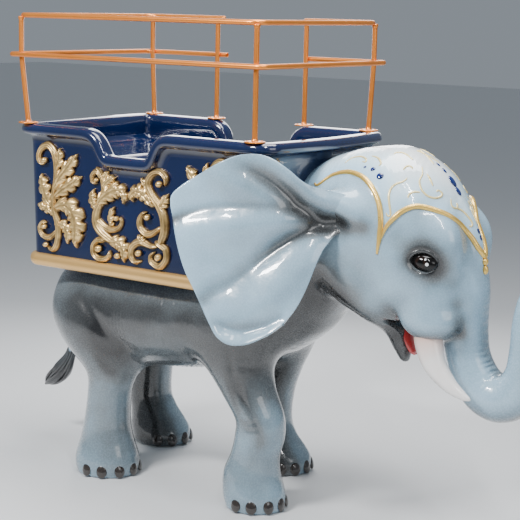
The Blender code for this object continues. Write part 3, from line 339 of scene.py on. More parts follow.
edge_along, edge_height = rim_path()
ahead_s, ahead_z = np.gradient(edge_along), np.gradient(edge_height)
ahead_s[[0, -1]], ahead_z[[0, -1]] = 1.0, 0.0
size = np.hypot(ahead_s, ahead_z)
ahead_s, ahead_z = ahead_s / size, ahead_z / size
slim = 0.55 + 0.45 * step_curve(edge_height, SILL_PATH_Z + 0.02, RIM_LOW_Z - 0.12)
slim = np.where(edge_height > 1.38, 1.0, slim)[:, None]
roll_out, roll_up = ROLL.T
up = roll_up * np.where(roll_up > 0, slim, np.minimum(slim, 0.62) / 0.62)
out = roll_out * np.where(roll_out > 0, slim ** 2, 1.0)
roll = tub_point(edge_along[:, None] - ahead_z[:, None] * up, out, edge_height[:, None] + ahead_s[:, None] * up)
roll_faces = grid_faces(len(edge_along), len(ROLL), True, True)
tub_points = np.vstack([wall.reshape(-1, 3), roll.reshape(-1, 3)])
tub_faces = np.vstack([wall_faces, roll_faces + len(wall) * len(reach)])[:, ::-1]
tub = lay_mesh("tub_shell", (tub_points, tub_faces), navy, sharp=50)
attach(tub, "root")
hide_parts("tub")


# Benches and floor inside the tub
# Two moulded seats face each other over a footwell. Each is one surface with the tub lining:
# it rolls over the seat edge, dishes a little and sweeps up into the walls in a cove.

BENCH_Z, BENCH_ROLL, BENCH_COVE = 1.412, 0.045, 0.040
BENCH_HALF_WIDTH = TUB_HALF_WIDTH - TUB_WALL + 0.001


def seat(edge_x, back_x):
    """Seat section from the floor up the front, over the edge and back to the wall, carried
    across the tub, with the top raised along both sides by a quarter circle."""
    way = math.copysign(1.0, back_x - edge_x)
    turn = np.radians(np.linspace(0, 90, 12))
    cove = np.radians(np.linspace(0, 80, 8))
    depth = abs(back_x - edge_x)
    flat = np.linspace(BENCH_ROLL, depth - BENCH_COVE, 14)[1:-1]
    dish = 0.006 * np.sin(np.pi * (flat - BENCH_ROLL) / (depth - BENCH_COVE - BENCH_ROLL))
    run = np.concatenate([[0.012, 0.004], BENCH_ROLL * (1 - np.cos(turn)), flat,
                          depth - BENCH_COVE + BENCH_COVE * np.sin(cove), [depth + 0.006]])
    height = np.concatenate([[TUB_FLOOR_Z + 0.001, 1.20], BENCH_Z - BENCH_ROLL + BENCH_ROLL * np.sin(turn),
                             BENCH_Z - dish, BENCH_Z + BENCH_COVE * (1 - np.cos(cove)), [BENCH_Z + 0.036]])
    y = BENCH_HALF_WIDTH * np.sin(np.linspace(-math.pi / 2, math.pi / 2, 41))
    near_wall = np.clip((np.abs(y) - (BENCH_HALF_WIDTH - BENCH_COVE)) / BENCH_COVE, 0, 0.985)
    lift = BENCH_COVE * 0.62 * (1 - np.sqrt(1 - near_wall ** 2))
    on_top = step_curve(run, 0.01, BENCH_ROLL + 0.02)
    points = np.zeros((len(run), len(y), 3))
    points[..., 0] = edge_x + way * run[:, None]
    points[..., 1] = y
    points[..., 2] = height[:, None] + on_top[:, None] * lift
    under = points.copy()
    under[..., 2] = TUB_FLOOR_Z + 0.001
    both = np.concatenate([points, under[::-1][1:-1]])
    count, size = both.shape[:2]
    half = len(points)
    faces = [grid_faces(count, size, True, False)]
    for column in (0, size - 1):
        ring = np.arange(count) * size + column
        top = ring[:half]
        low = np.concatenate([[ring[0]], ring[half:][::-1], [ring[half - 1]]])
        strip = np.stack([top[:-1], top[1:], low[1:], low[:-1]], 1)
        faces.append(strip if column else strip[:, ::-1])
    faces = np.vstack(faces)
    return both, faces if way > 0 else faces[:, ::-1]


for name, edge_x, back_x, node in (("seat_rear", -0.150, -0.595, "bench_rear"),
                                   ("seat_front", 0.220, 0.640, "bench_front")):
    piece = lay_mesh(name, seat(edge_x, back_x), navy, sharp=60)
    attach(piece, "root")
    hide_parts(node)

floor_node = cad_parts["tub_floor"]
floor_navy = navy.copy()
floor_navy.name = "footwell_blue"
floor_node.data.materials.clear()
floor_node.data.materials.append(floor_navy)


# Base moulding
# A gold-painted half round moulding runs round the foot of the tub, glued and pinned to it,
# with mitred corners filled smooth.

def node_group(name, inputs, outputs):
    """A shader node group with named sockets of given kinds, its input values and its result."""
    tree = bpy.data.node_groups.new(name, "ShaderNodeTree")
    for way, sockets in (("INPUT", inputs), ("OUTPUT", outputs)):
        for socket, kind in sockets.items():
            tree.interface.new_socket(socket, in_out=way, socket_type="NodeSocket" + kind)
    return tree, tree.nodes.new("NodeGroupInput").outputs, tree.nodes.new("NodeGroupOutput")


def computed(tree, operation, *values, **settings):
    """The result of a Math node."""
    return add_node(tree, "Math", dict(enumerate(values)), operation=operation, **settings).outputs[0]


def mark_value(tree, name):
    """The value of one of the piece's marks."""
    return add_node(tree, "Attribute", attribute_name=name).outputs["Fac"]


PAINT_OUTPUTS = {"Color": "Color", "Roughness": "Float", "Height": "Float"}
GOLD_PATINA, given, result = node_group(
    "gold_patina", {"Bright": "Color", "Deep": "Color", "Hollow": "Float", "Size": "Float"}, PAINT_OUTPUTS)
brushed = noise(GOLD_PATINA, given["Size"], 5.0)
worn = computed(GOLD_PATINA, "ADD", mapped(GOLD_PATINA, brushed, 0.0, 0.45, 0.35, 0.75), given["Hollow"],
                use_clamp=True)
feed(GOLD_PATINA, result, {"Color": mixed(GOLD_PATINA, worn, given["Bright"], given["Deep"]),
                           "Roughness": mapped(GOLD_PATINA, worn, 0.27, 0.55), "Height": brushed})


def gold_finish(name, bright, deep, size, metallic, mark=None):
    """A gold paint: the patina group drives colour and roughness, and bump its brush marks."""
    finish, tree, surface = new_finish(name)
    hollow = mark_value(tree, mark) if mark else 0.0
    group = add_node(tree, "Group", {"Bright": bright, "Deep": deep, "Size": size, "Hollow": hollow},
                     node_tree=GOLD_PATINA).outputs
    feed(tree, surface, {
        "Base Color": group["Color"], "Roughness": group["Roughness"], "Metallic": metallic,
        "Normal": bumped(tree, group["Height"], 0.35, 0.002), "Coat Weight": 0.35, "Coat Roughness": 0.12})
    return finish


moulding_gold = gold_finish("moulding_gold", (0.88, 0.54, 0.19, 1), (0.66, 0.37, 0.11, 1), 2.5, 0.62)
bend = np.linspace(math.pi / 2, -math.pi / 2, 17)
moulding_out, moulding_up = 0.0012 + 0.0250 * np.cos(bend) ** 0.8, 0.028 + 0.028 * np.sin(bend)
moulding_lengths = OUTLINE[0][:-1]
moulding_points = tub_point(moulding_lengths[:, None], moulding_out, TUB_BASE_Z + moulding_up)
moulding_faces = grid_faces(len(moulding_lengths), len(bend), True, True)
moulding = lay_mesh("base_moulding", (moulding_points, moulding_faces), moulding_gold, sharp=42)
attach(moulding, "root")
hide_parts("base_moulding_front", "base_moulding_right", "base_moulding_rear", "base_moulding_left")


# Tube rails and posts
# Half-inch steel pipe, bent, welded and sprayed copper gold. The lower rail's free ends are
# open. Each post stands on a round flange held to the rim by four screws.

TUBE_RADIUS, RAIL_TOP_Z, RAIL_MID_Z = 0.01065, 1.98935, 1.8235
POST_BASE_Z = RIM_LOW_Z + RIM_HEIGHT - 0.0006

copper, tree, surface = new_finish("rail_copper")
flake = noise(tree, 420.0, 2.0)
feed(tree, surface, {
    "Base Color": mixed(tree, noise(tree, 14.0, 4.0), (0.84, 0.235, 0.032, 1), (0.95, 0.335, 0.060, 1)),
    "Roughness": mapped(tree, flake, 0.22, 0.40), "Normal": bumped(tree, flake, 0.08, 0.0006),
    "Metallic": 0.72, "Coat Weight": 0.15, "Coat Roughness": 0.1})


def unit(v):
    """Vectors divided by their lengths."""
    return v / np.linalg.norm(v, axis=-1, keepdims=True)


def square_to(path, hint):
    """For each point of a path, its direction and two directions square to it, the first as
    near as can be to the hint."""
    ahead = unit(np.gradient(path, axis=0))
    first = unit(hint - (ahead * hint).sum(-1, keepdims=True) * ahead)
    return ahead, first, np.cross(ahead, first)


def rings_round(path, first, second, radii, widths, sides):
    """Rings round the points of a path: the first direction times radius times cosine of the
    turn, plus the second times width times sine."""
    turn = np.linspace(0, 2 * math.pi, sides, endpoint=False)
    return (path[:, None] + first[:, None] * (radii[:, None] * np.cos(turn))[..., None]
            + second[:, None] * (widths[:, None] * np.sin(turn))[..., None])


def tube_along(path, radii, sides=24, hint=(0.0, 0.0, 1.0), widths=None):
    """A tube along a path, as high as its radii and as wide as its widths, with closed ends."""
    path = np.asarray(path, float)
    _, first, second = square_to(path, np.asarray(hint, float))
    radii = np.broadcast_to(radii, len(path))
    return close_ends(rings_round(path, first, second, radii, radii if widths is None else widths, sides))


def close_ends(rings):
    """Points and faces of a stack of rings with a fan of triangles at each end."""
    count, sides = rings.shape[:2]
    points = np.vstack([rings.reshape(-1, 3), rings[0].mean(0), rings[-1].mean(0)])
    here = np.arange(sides)
    after, last = np.roll(here, -1), (count - 1) * sides
    start = np.stack([here, after, np.full(sides, count * sides)], 1)
    end = np.stack([after + last, here + last, np.full(sides, count * sides + 1)], 1)
    return points, grid_faces(count, sides, False, True)[:, ::-1], np.vstack([start, end])[:, ::-1]


def gather(parts):
    """Several sets of points, quads and triangles as one."""
    points, quads, tris, base = [], [], [], 0
    for p, q, t in parts:
        points.append(p)
        quads.append(q + base)
        tris.append(t + base)
        base += len(p)
    return np.vstack(points), np.vstack(quads), np.vstack(tris)


def bent_route(corners, radius):
    """A route through corners, each replaced by a quarter turn of the given radius."""
    c = np.asarray(corners, float)
    route = [c[:1]]
    t = np.linspace(0, 1, 9)[:, None]
    for before, here, after in zip(c, c[1:], c[2:]):
        start = here + unit(before - here) * radius
        end = here + unit(after - here) * radius
        route.append((1 - t) ** 2 * start + 2 * t * (1 - t) * here + t ** 2 * end)
    route.append(c[-1:])
    return np.vstack(route)


def ended(path, radius, steps):
    """A path's ends with rings added at given (set back, share of the radius) for a shaped end."""
    ahead = unit(path[1] - path[0])
    behind = unit(path[-2] - path[-1])
    back, share = np.array(steps).T
    points = np.vstack([path[0] + ahead * back[:, None], path[1:-1], path[-1] + behind * back[::-1, None]])
    return points, np.concatenate([share, np.ones(len(path) - 2), share[::-1]]) * radius


ROUND_END = [(0.0, 0.30), (0.0008, 0.72), (0.0026, 0.94), (0.006, 1.0)]
TOP_CORNERS = [(-0.186, 0.418), (-0.628, 0.424), (-0.650, -0.424), (0.612, -0.420), (0.620, 0.420), (0.252, 0.418)]
top_path = bent_route([(x, y, RAIL_TOP_Z) for x, y in TOP_CORNERS], 0.055)
top_rail = lay_mesh("top_rail_tube", tube_along(*ended(top_path, TUBE_RADIUS, ROUND_END)), copper, sharp=60)
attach(top_rail, "root")
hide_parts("top_rail")

BORE = 0.0082 / TUBE_RADIUS
OPEN_END = [(0.050, 0.05), (0.0499, BORE), (0.0004, BORE), (0.0, BORE + 0.03), (0.0, 0.95), (0.0006, 1.0)]
MID_CORNERS = [(-0.186, 0.4396), (-0.662, 0.4436), (-0.686, -0.4436), (0.650, -0.4396), (0.658, 0.4396),
               (0.252, 0.4396)]
mid_path = bent_route([(x, y, RAIL_MID_Z) for x, y in MID_CORNERS], 0.030)
path, radii = ended(mid_path, TUBE_RADIUS, OPEN_END)
first, second = (np.vstack([[d[0]] * len(OPEN_END), d[1:-1], [d[-1]] * len(OPEN_END)])
                 for d in square_to(mid_path, np.array([0.0, 0.0, 1.0]))[1:])
mid_rail = lay_mesh("mid_rail_tube", close_ends(rings_round(path, first, second, radii, radii, 24)), copper, sharp=40)
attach(mid_rail, "root")
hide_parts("mid_rail")

POSTS = {
    "post_rear_right": ((-0.600, -0.420), (-0.638, -0.422)),
    "post_rear_left": ((-0.600, 0.420), (-0.615, 0.422)),
    "post_door_rear": ((-0.226, 0.418), (-0.226, 0.418)),
    "post_door_front": ((0.262, 0.418), (0.262, 0.418)),
    "post_front_left": ((0.600, 0.412), (0.612, 0.418)),
    "post_front_right": ((0.600, -0.412), (0.604, -0.418)),
}
FLANGE = [(0.0004, 0.0), (0.0415, 0.0), (0.0420, 0.0008), (0.0420, 0.0036), (0.0406, 0.0050), (0.0175, 0.0052),
          (0.0150, 0.0062), (0.0128, 0.0090), (0.0112, 0.0140), (0.01065, 0.0180), (0.0004, 0.0185)]
SCREW = [(0.0003, 0.0), (0.0052, 0.0), (0.0050, 0.0012), (0.0036, 0.0024), (0.0003, 0.0030)]
WELD = [(0.0100, -0.012), (0.0112, -0.009), (0.0127, -0.004), (0.0134, 0.0008), (0.0126, 0.004), (0.0100, 0.006)]
SCREW_CIRCLE, FLANGE_TOP = 0.029, 0.0048


def turned(profile, place, sides):
    """A turned shape: the profile of (radius, height) carried round an upright axis at a place."""
    radius, height = np.array(profile)[:, :, None].transpose(1, 0, 2)
    turn = -np.linspace(0, 2 * math.pi, sides, endpoint=False)
    return close_ends(place + np.stack([radius * np.cos(turn), radius * np.sin(turn), height + 0 * turn], -1))


for name, (foot, head_place) in POSTS.items():
    base, bend, top = (np.array([*foot, POST_BASE_Z]), np.array([*head_place, RAIL_MID_Z]),
                       np.array([*head_place, RAIL_TOP_Z]))
    shaft = [base + [0, 0, 0.004], base * 0.5 + 0.5 * bend, bend, top - [0, 0, 0.004]]
    parts = [tube_along(shaft, TUBE_RADIUS, hint=(1.0, 0.0, 0.0)), turned(FLANGE, base, 40),
             turned(WELD, top - [0, 0, TUBE_RADIUS], 24)]
    for turn in np.radians([45, 135, 225, 315]):
        spot = base + [SCREW_CIRCLE * math.cos(turn), SCREW_CIRCLE * math.sin(turn), FLANGE_TOP]
        parts.append(turned(SCREW, spot, 12))
    post = lay_mesh(name + "_tube", gather(parts), copper, sharp=50)
    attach(post, "root")
    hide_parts(name)


# Fibreglass elephant
# The figure is one hollow glass-fibre moulding, sanded smooth, sprayed in blue-grey shades with painted
# shade in its folds, and covered in a thick clear gloss. Its feet are cast with dark nails.

SKIN_REACH = 0.050


def swell(total, axes, rows, blend, count=150, reach=SKIN_REACH):
    """Join a limb to the field of the figure, which is negative inside it.

    The limb's field is the least, over its stations, of (d - 1) times the station's radius,
    where d is the distance from the station in units of its half sizes along, across and
    sideways. A row is x, y, z, slope in degrees downwards, half width, up and down. The union
    is smooth: min(a, b) - (blend - |a - b|)^2 / (4 blend) where that is positive."""
    x, y, z = axes
    near = np.full(total.shape, 9.0, np.float32)
    for cx, cy, cz, slope, width, up, down in through(rows, count):
        c, s = math.cos(math.radians(slope)), math.sin(math.radians(slope))
        far = 1.75 * max(up, down, reach)
        i0, i1 = np.searchsorted(x, (cx - far, cx + far))
        j0, j1 = np.searchsorted(y, (cy - 1.75 * width, cy + 1.75 * width))
        k0, k1 = np.searchsorted(z, (cz - far, cz + far))
        if i0 == i1 or j0 == j1 or k0 == k1:
            continue
        dx = (x[i0:i1] - cx)[:, None]
        dz = (z[k0:k1] - cz)[None, :]
        along, across = dx * c - dz * s, dx * s + dz * c
        side_view = (along / reach) ** 2 + (across / np.where(across > 0, up, down)) ** 2
        d = np.sqrt(side_view[:, None, :] + (((y[j0:j1] - cy) / width) ** 2)[None, :, None])
        window = near[i0:i1, j0:j1, k0:k1]
        np.minimum(window, (d - 1) * min(width, up, down), out=window)
    return soft_union(total, near, blend)


def soft_union(a, b, blend):
    """The smooth union of two fields. With both signs turned, it cuts b out of a."""
    overlap = np.maximum(blend - np.abs(a - b), 0)
    return np.minimum(a, b) - overlap * overlap / (4 * blend)


def lump(axes, centre, radii, turn=0.0):
    """Field of an ellipsoid, turned about the sideways axis by degrees downwards."""
    x, y, z = axes
    c, s = math.cos(math.radians(turn)), math.sin(math.radians(turn))
    dx, dz = (x - centre[0])[:, None], (z - centre[2])[None, :]
    side_view = ((dx * c - dz * s) / radii[0]) ** 2 + ((dx * s + dz * c) / radii[2]) ** 2
    d = np.sqrt(side_view[:, None, :] + (((y - centre[1]) / radii[1]) ** 2)[None, :, None])
    return (d - 1) * min(radii)


# Stations of the one long form from the rump through the barrel, neck and brow to the tip of
# the trunk, then of the jaw and the legs: x, y, z, slope, half width, up and down.
BODY = [
    (-0.640, 0, 0.760, 0, 0.140, 0.095, 0.080), (-0.590, 0, 0.745, 0, 0.232, 0.165, 0.135),
    (-0.500, 0, 0.731, 0, 0.335, 0.234, 0.206), (-0.300, 0, 0.731, 0, 0.376, 0.269, 0.269),
    (-0.050, 0, 0.739, 0, 0.388, 0.261, 0.261), (0.200, 0, 0.760, -6, 0.378, 0.245, 0.240),
    (0.420, 0, 0.846, -14, 0.345, 0.254, 0.254), (0.600, 0, 1.016, -12, 0.305, 0.304, 0.304),
    (0.700, 0, 1.110, -4, 0.276, 0.330, 0.310), (0.800, 0, 1.165, 2, 0.266, 0.330, 0.262),
    (0.890, 0, 1.184, 7, 0.272, 0.337, 0.276), (0.980, 0, 1.200, 12, 0.276, 0.330, 0.290),
    (1.062, 0, 1.184, 22, 0.260, 0.303, 0.284),
    (1.130, 0, 1.152, 34, 0.238, 0.254, 0.272),
    (1.225, 0, 1.060, 56, 0.186, 0.170, 0.215), (1.275, 0, 0.965, 72, 0.142, 0.138, 0.150),
    (1.302, 0, 0.885, 82, 0.112, 0.110, 0.112), (1.322, 0, 0.820, 84, 0.092, 0.094, 0.092),
    (1.343, 0, 0.740, 74, 0.086, 0.086, 0.088), (1.376, 0, 0.668, 58, 0.088, 0.088, 0.092),
    (1.424, 0, 0.612, 34, 0.092, 0.092, 0.096), (1.487, 0, 0.592, 0, 0.094, 0.096, 0.096),
    (1.552, 0, 0.620, -38, 0.091, 0.090, 0.092), (1.594, 0, 0.690, -68, 0.087, 0.086, 0.086),
    (1.606, 0, 0.785, -86, 0.083, 0.082, 0.082), (1.606, 0, 0.885, -86, 0.078, 0.077, 0.077),
    (1.618, 0, 0.975, -72, 0.072, 0.070, 0.070), (1.648, 0, 1.045, -58, 0.066, 0.062, 0.062),
    (1.676, 0, 1.085, -50, 0.062, 0.056, 0.056),
]
JAW = [
    (0.820, 0, 1.110, 30, 0.235, 0.120, 0.170), (0.900, 0, 1.045, 42, 0.200, 0.100, 0.152),
    (0.985, 0, 0.942, 54, 0.165, 0.080, 0.108), (1.016, 0, 0.876, 58, 0.138, 0.066, 0.078),
    (1.040, 0, 0.806, 61, 0.088, 0.050, 0.058),
    (1.053, 0, 0.740, 62, 0.052, 0.034, 0.040), (1.060, 0, 0.696, 60, 0.028, 0.020, 0.024),
]
LEGS = {
    "front_right": [(0.400, -0.185, 0.860, 0.160, 0.110), (0.385, -0.205, 0.740, 0.172, 0.140),
                    (0.400, -0.212, 0.600, 0.146, 0.135), (0.449, -0.212, 0.490, 0.116, 0.115),
                    (0.510, -0.212, 0.383, 0.102, 0.104), (0.512, -0.212, 0.304, 0.104, 0.104),
                    (0.492, -0.212, 0.221, 0.103, 0.104), (0.478, -0.214, 0.140, 0.122, 0.116),
                    (0.492, -0.216, 0.060, 0.134, 0.126), (0.500, -0.216, 0.000, 0.124, 0.120)],
    "front_left": [(0.380, 0.185, 0.860, 0.160, 0.110), (0.345, 0.215, 0.740, 0.165, 0.140),
                   (0.305, 0.250, 0.600, 0.135, 0.128), (0.262, 0.270, 0.480, 0.110, 0.108),
                   (0.228, 0.278, 0.358, 0.098, 0.100), (0.220, 0.280, 0.225, 0.094, 0.098),
                   (0.240, 0.280, 0.145, 0.104, 0.106), (0.284, 0.280, 0.060, 0.132, 0.124),
                   (0.292, 0.280, 0.000, 0.122, 0.118)],
    "hind_right": [(-0.390, -0.170, 0.840, 0.150, 0.110), (-0.366, -0.200, 0.730, 0.172, 0.150),
                   (-0.322, -0.226, 0.629, 0.160, 0.148), (-0.274, -0.236, 0.474, 0.112, 0.112),
                   (-0.285, -0.240, 0.370, 0.096, 0.100), (-0.298, -0.240, 0.241, 0.101, 0.104),
                   (-0.300, -0.240, 0.156, 0.118, 0.114), (-0.298, -0.240, 0.060, 0.148, 0.136),
                   (-0.296, -0.240, 0.000, 0.138, 0.128)],
    "hind_left": [(-0.400, 0.180, 0.820, 0.150, 0.100), (-0.430, 0.200, 0.730, 0.170, 0.140),
                  (-0.450, 0.240, 0.600, 0.148, 0.135), (-0.466, 0.262, 0.470, 0.110, 0.108),
                  (-0.476, 0.275, 0.360, 0.098, 0.100), (-0.488, 0.280, 0.230, 0.100, 0.102),
                  (-0.466, 0.280, 0.155, 0.112, 0.108), (-0.424, 0.280, 0.060, 0.146, 0.130),
                  (-0.420, 0.280, 0.000, 0.138, 0.124)],
}
TAIL = [
    (-0.630, 0, 0.800, 130, 0.046, 0.042, 0.042), (-0.690, 0, 0.740, 118, 0.031, 0.029, 0.029),
    (-0.712, 0, 0.640, 96, 0.023, 0.022, 0.022), (-0.718, 0, 0.540, 92, 0.020, 0.019, 0.019),
    (-0.738, 0, 0.440, 108, 0.019, 0.018, 0.018),
]
EAR_ROLL = [(0.870, 0.268, 1.318, 0.042), (0.925, 0.252, 1.304, 0.054), (0.985, 0.232, 1.284, 0.058),
            (1.045, 0.200, 1.262, 0.050)]
# On both sides: centre, half sizes, turn and blend. The swellings are the cheek over the tusk,
# the lip, the brow ridge, the temple, the haunch and the jowl; the hollows temple and eye socket.
SWELLINGS = [
    ((1.234, 0.124, 0.932), (0.094, 0.078, 0.118), 0, 0.045),
    ((1.240, 0.120, 0.868), (0.106, 0.076, 0.056), -4, 0.045),
    ((1.274, 0.124, 1.186), (0.112, 0.062, 0.078), 76, 0.040),
    ((1.110, 0.190, 1.060), (0.120, 0.060, 0.150), 30, 0.060),
    ((-0.362, 0.185, 0.690), (0.160, 0.165, 0.185), 0, 0.140),
    ((0.905, 0.120, 0.996), (0.145, 0.105, 0.090), 36, 0.080),
]
HOLLOWS = [
    ((1.150, 0.330, 1.215), (0.060, 0.075, 0.060), 20, 0.050),
    ((1.248, 0.226, 1.118), (0.046, 0.034, 0.034), 8, 0.030),
]
FOREHEAD_RIDGE = ((1.305, 0.0, 1.207), (0.150, 0.050, 0.060), 62, 0.020)
NECK_SEAM = 0.700


def elephant(axes):
    """The field of the whole figure on a block of space given by three rows of places."""
    x, y, z = axes
    total = np.full((len(x), len(y), len(z)), 9.0, np.float32)
    total = swell(total, axes, BODY, 0.010, count=420)
    for rows in LEGS.values():
        stations = [(lx, ly, lz, 90, wide, long, long) for lx, ly, lz, long, wide in rows]
        total = swell(total, axes, stations, 0.085, count=110)
    total = swell(total, axes, TAIL, 0.030, count=50, reach=0.02)
    for side in (-1, 1):
        for centre, radii, turn, blend in SWELLINGS:
            total = soft_union(total, lump(axes, centre * np.array([1, side, 1]), radii, turn), blend)
        ear_roll = [(x0, side * y0, z0, -6, r, r, r) for x0, y0, z0, r in EAR_ROLL]
        total = swell(total, axes, ear_roll, 0.045, count=50, reach=0.03)
        for centre, radii, turn, blend in HOLLOWS:
            total = -soft_union(-total, lump(axes, centre * np.array([1, side, 1]), radii, turn), blend)
    total = soft_union(total, lump(axes, *FOREHEAD_RIDGE[:3]), FOREHEAD_RIDGE[3])
    total = swell(total, axes, JAW, 0.085, count=110, reach=0.03)
    mouth = swell(np.full(total.shape, 9.0, np.float32), axes,
                  [(1.062, 0, 0.860, 58, 0.165, 0.009, 0.008), (1.090, 0, 0.808, 60, 0.140, 0.022, 0.012),
                   (1.128, 0, 0.745, 60, 0.095, 0.080, 0.030)], 0.01, count=70, reach=0.012)
    total = -soft_union(-total, mouth, 0.012)
    total = np.maximum(total, -z[None, None, :])
    behind_tub_front = np.minimum(0.650 - x[:, None, None], z[None, None, :] - 0.930)
    return np.maximum(total, behind_tub_front)


def wrap_surface(field, axes):
    """Surface nets: one point in each cell that the surface crosses, at the mean of the
    crossings on the cell's edges, and one quad round each crossed edge of the block."""
    x, y, z = axes
    inside = field < 0
    corners = [(i, j, k) for i in (0, 1) for j in (0, 1) for k in (0, 1)]
    nx, ny, nz = (n - 1 for n in field.shape)
    filled = sum(inside[i:i + nx, j:j + ny, k:k + nz].astype(np.int8) for i, j, k in corners)
    cells = np.stack(np.nonzero((filled > 0) & (filled < 8)), 1)
    number = np.full((nx, ny, nz), -1, np.int32)
    number[tuple(cells.T)] = np.arange(len(cells))
    total = np.zeros((len(cells), 3))
    crossings = np.zeros((len(cells), 1))
    for a in corners:
        for axis in range(3):
            if a[axis]:
                continue
            b = tuple(v + (n == axis) for n, v in enumerate(a))
            fa = field[tuple((cells + a).T)].astype(float)
            fb = field[tuple((cells + b).T)].astype(float)
            crossed = ((fa < 0) != (fb < 0))[:, None]
            t = (fa / np.where(fa == fb, 1, fa - fb))[:, None]
            total += np.where(crossed, np.array(a) + t * (np.array(b) - np.array(a)), 0)
            crossings += crossed
    places = cells + total / crossings
    points = np.stack([np.interp(places[:, n], np.arange(len(axis)), axis) for n, axis in enumerate(axes)], 1)
    quads = []
    for axis in range(3):
        shift = [0, 0, 0]
        shift[axis] = 1
        low = inside[tuple(slice(0, n - s) for n, s in zip(field.shape, shift))]
        high = inside[tuple(slice(s, None) for s in shift)]
        edges = np.stack(np.nonzero(low != high), 1)
        other = [n for n in range(3) if n != axis]
        edges = edges[np.all(edges[:, other] > 0, 1) & np.all(edges[:, other] < np.array((nx, ny, nz))[other], 1)]
        one, two = np.eye(3, dtype=int)[other]
        around = [edges - one - two, edges - two, edges, edges - one]
        quad = np.stack([number[tuple(place.T)] for place in around], 1)
        outward = low[tuple(edges.T)] == (axis != 1)
        quads.append(np.where(outward[:, None], quad, quad[:, ::-1]))
    return points, np.vstack(quads)


def neighbour_mean(values, quads, count):
    """For each point, the mean of a value over the points that share an edge with it."""
    a = np.concatenate([quads[:, k] for k in range(4)])
    b = np.concatenate([quads[:, (k + 1) % 4] for k in range(4)])
    values = values.reshape(count, -1)
    sums = np.stack([np.bincount(a, values[b, n], count) + np.bincount(b, values[a, n], count)
                     for n in range(values.shape[1])], 1)
    uses = np.bincount(a, minlength=count) + np.bincount(b, minlength=count)
    return sums / np.maximum(uses, 1)[:, None]


def point_normals(points, quads):
    """Area-weighted mean of the faces' normals at each point."""
    across = np.cross(points[quads[:, 2]] - points[quads[:, 0]], points[quads[:, 3]] - points[quads[:, 1]])
    total = np.stack([sum(np.bincount(quads[:, k], across[:, n], len(points)) for k in range(4))
                      for n in range(3)], 1)
    return total / np.maximum(np.linalg.norm(total, axis=1, keepdims=True), 1e-12)


def relax(points, quads, rounds):
    """Even out a surface without shrinking it: each round moves every point half way to its
    neighbours' mean and then a little further back."""
    for _ in range(rounds):
        points = points + 0.50 * (neighbour_mean(points, quads, len(points)) - points)
        points = points - 0.53 * (neighbour_mean(points, quads, len(points)) - points)
    return points


# Creases pressed into the skin, drawn on the side view: side, width, depth, painted shade in the crease, route.
CREASES = [
    (-1, 0.030, 0.014, 0.11, [(-0.380, 0.816), (-0.316, 0.795), (-0.279, 0.762), (-0.246, 0.724), (-0.187, 0.662),
                              (-0.144, 0.624), (-0.073, 0.584)]),
    (-1, 0.014, 0.007, 0.10, [(0.446, 0.690), (0.452, 0.600), (0.470, 0.520), (0.506, 0.436)]),
    (-1, 0.007, 0.0035, 0.10, [(0.480, 0.392), (0.520, 0.380), (0.560, 0.384)]),
    (-1, 0.007, 0.0035, 0.10, [(0.484, 0.366), (0.526, 0.352), (0.570, 0.358)]),
    (-1, 0.010, 0.004, 0.22, [(-0.250, 0.560), (-0.225, 0.500), (-0.190, 0.440)]),
    (-1, 0.009, 0.004, 0.20, [(0.470, 0.560), (0.505, 0.470), (0.560, 0.380)]),
    (-1, 0.008, 0.003, 0.18, [(0.430, 0.560), (0.455, 0.470), (0.480, 0.400)]),
    (-1, 0.008, 0.003, 0.16, [(0.545, 0.400), (0.575, 0.340), (0.570, 0.270)]),
    (1, 0.024, 0.011, 0.34, [(-0.430, 0.830), (-0.400, 0.760), (-0.330, 0.690), (-0.250, 0.632), (-0.160, 0.597)]),
    (1, 0.009, 0.004, 0.20, [(0.190, 0.520), (0.170, 0.440), (0.180, 0.340)]),
]
# Soft dark patches: the airbrushed halo round the eye, painted shade under the ear roll, inside the mouth and in the
# groove before the thigh, and darker patches elsewhere on the trunk, cheek, throat and neck: x, y on the right side, z,
# radius, strength; most are on both sides.
SHADES = [
    (1.226, 0.205, 1.134, 0.066, 0.90), (1.275, 0.185, 1.105, 0.060, 0.75), (1.320, 0.110, 1.180, 0.036, 0.16),
    (1.322, 0.120, 1.030, 0.036, 0.18), (1.335, 0.110, 0.960, 0.034, 0.34), (1.345, 0.110, 0.880, 0.040, 0.55),
    (1.370, 0.110, 0.830, 0.030, 0.60), (1.150, 0.120, 0.850, 0.050, 0.25), (1.230, 0.150, 0.792, 0.034, 0.60),
    (0.935, 0.262, 1.236, 0.044, 0.50), (0.990, 0.252, 1.246, 0.042, 0.42), (1.062, 0.100, 0.830, 0.036, 0.90),
    (1.084, 0.060, 0.800, 0.036, 0.80), (0.900, 0.190, 0.950, 0.110, 0.40), (0.990, 0.090, 0.800, 0.085, 0.50),
    (1.050, 0.040, 0.710, 0.070, 0.60), (0.820, 0.150, 0.900, 0.150, 0.45), (1.040, 0.140, 0.970, 0.090, 0.22),
    (0.700, 0.250, 1.050, 0.160, 0.40), (0.560, 0.200, 0.800, 0.200, 0.30), (0.860, 0.270, 1.250, 0.070, 0.30),
    (-0.225, 0.345, 0.645, 0.070, 0.34), (-0.175, 0.325, 0.600, 0.060, 0.34), (1.020, 0.262, 1.236, 0.034, 0.25),
]


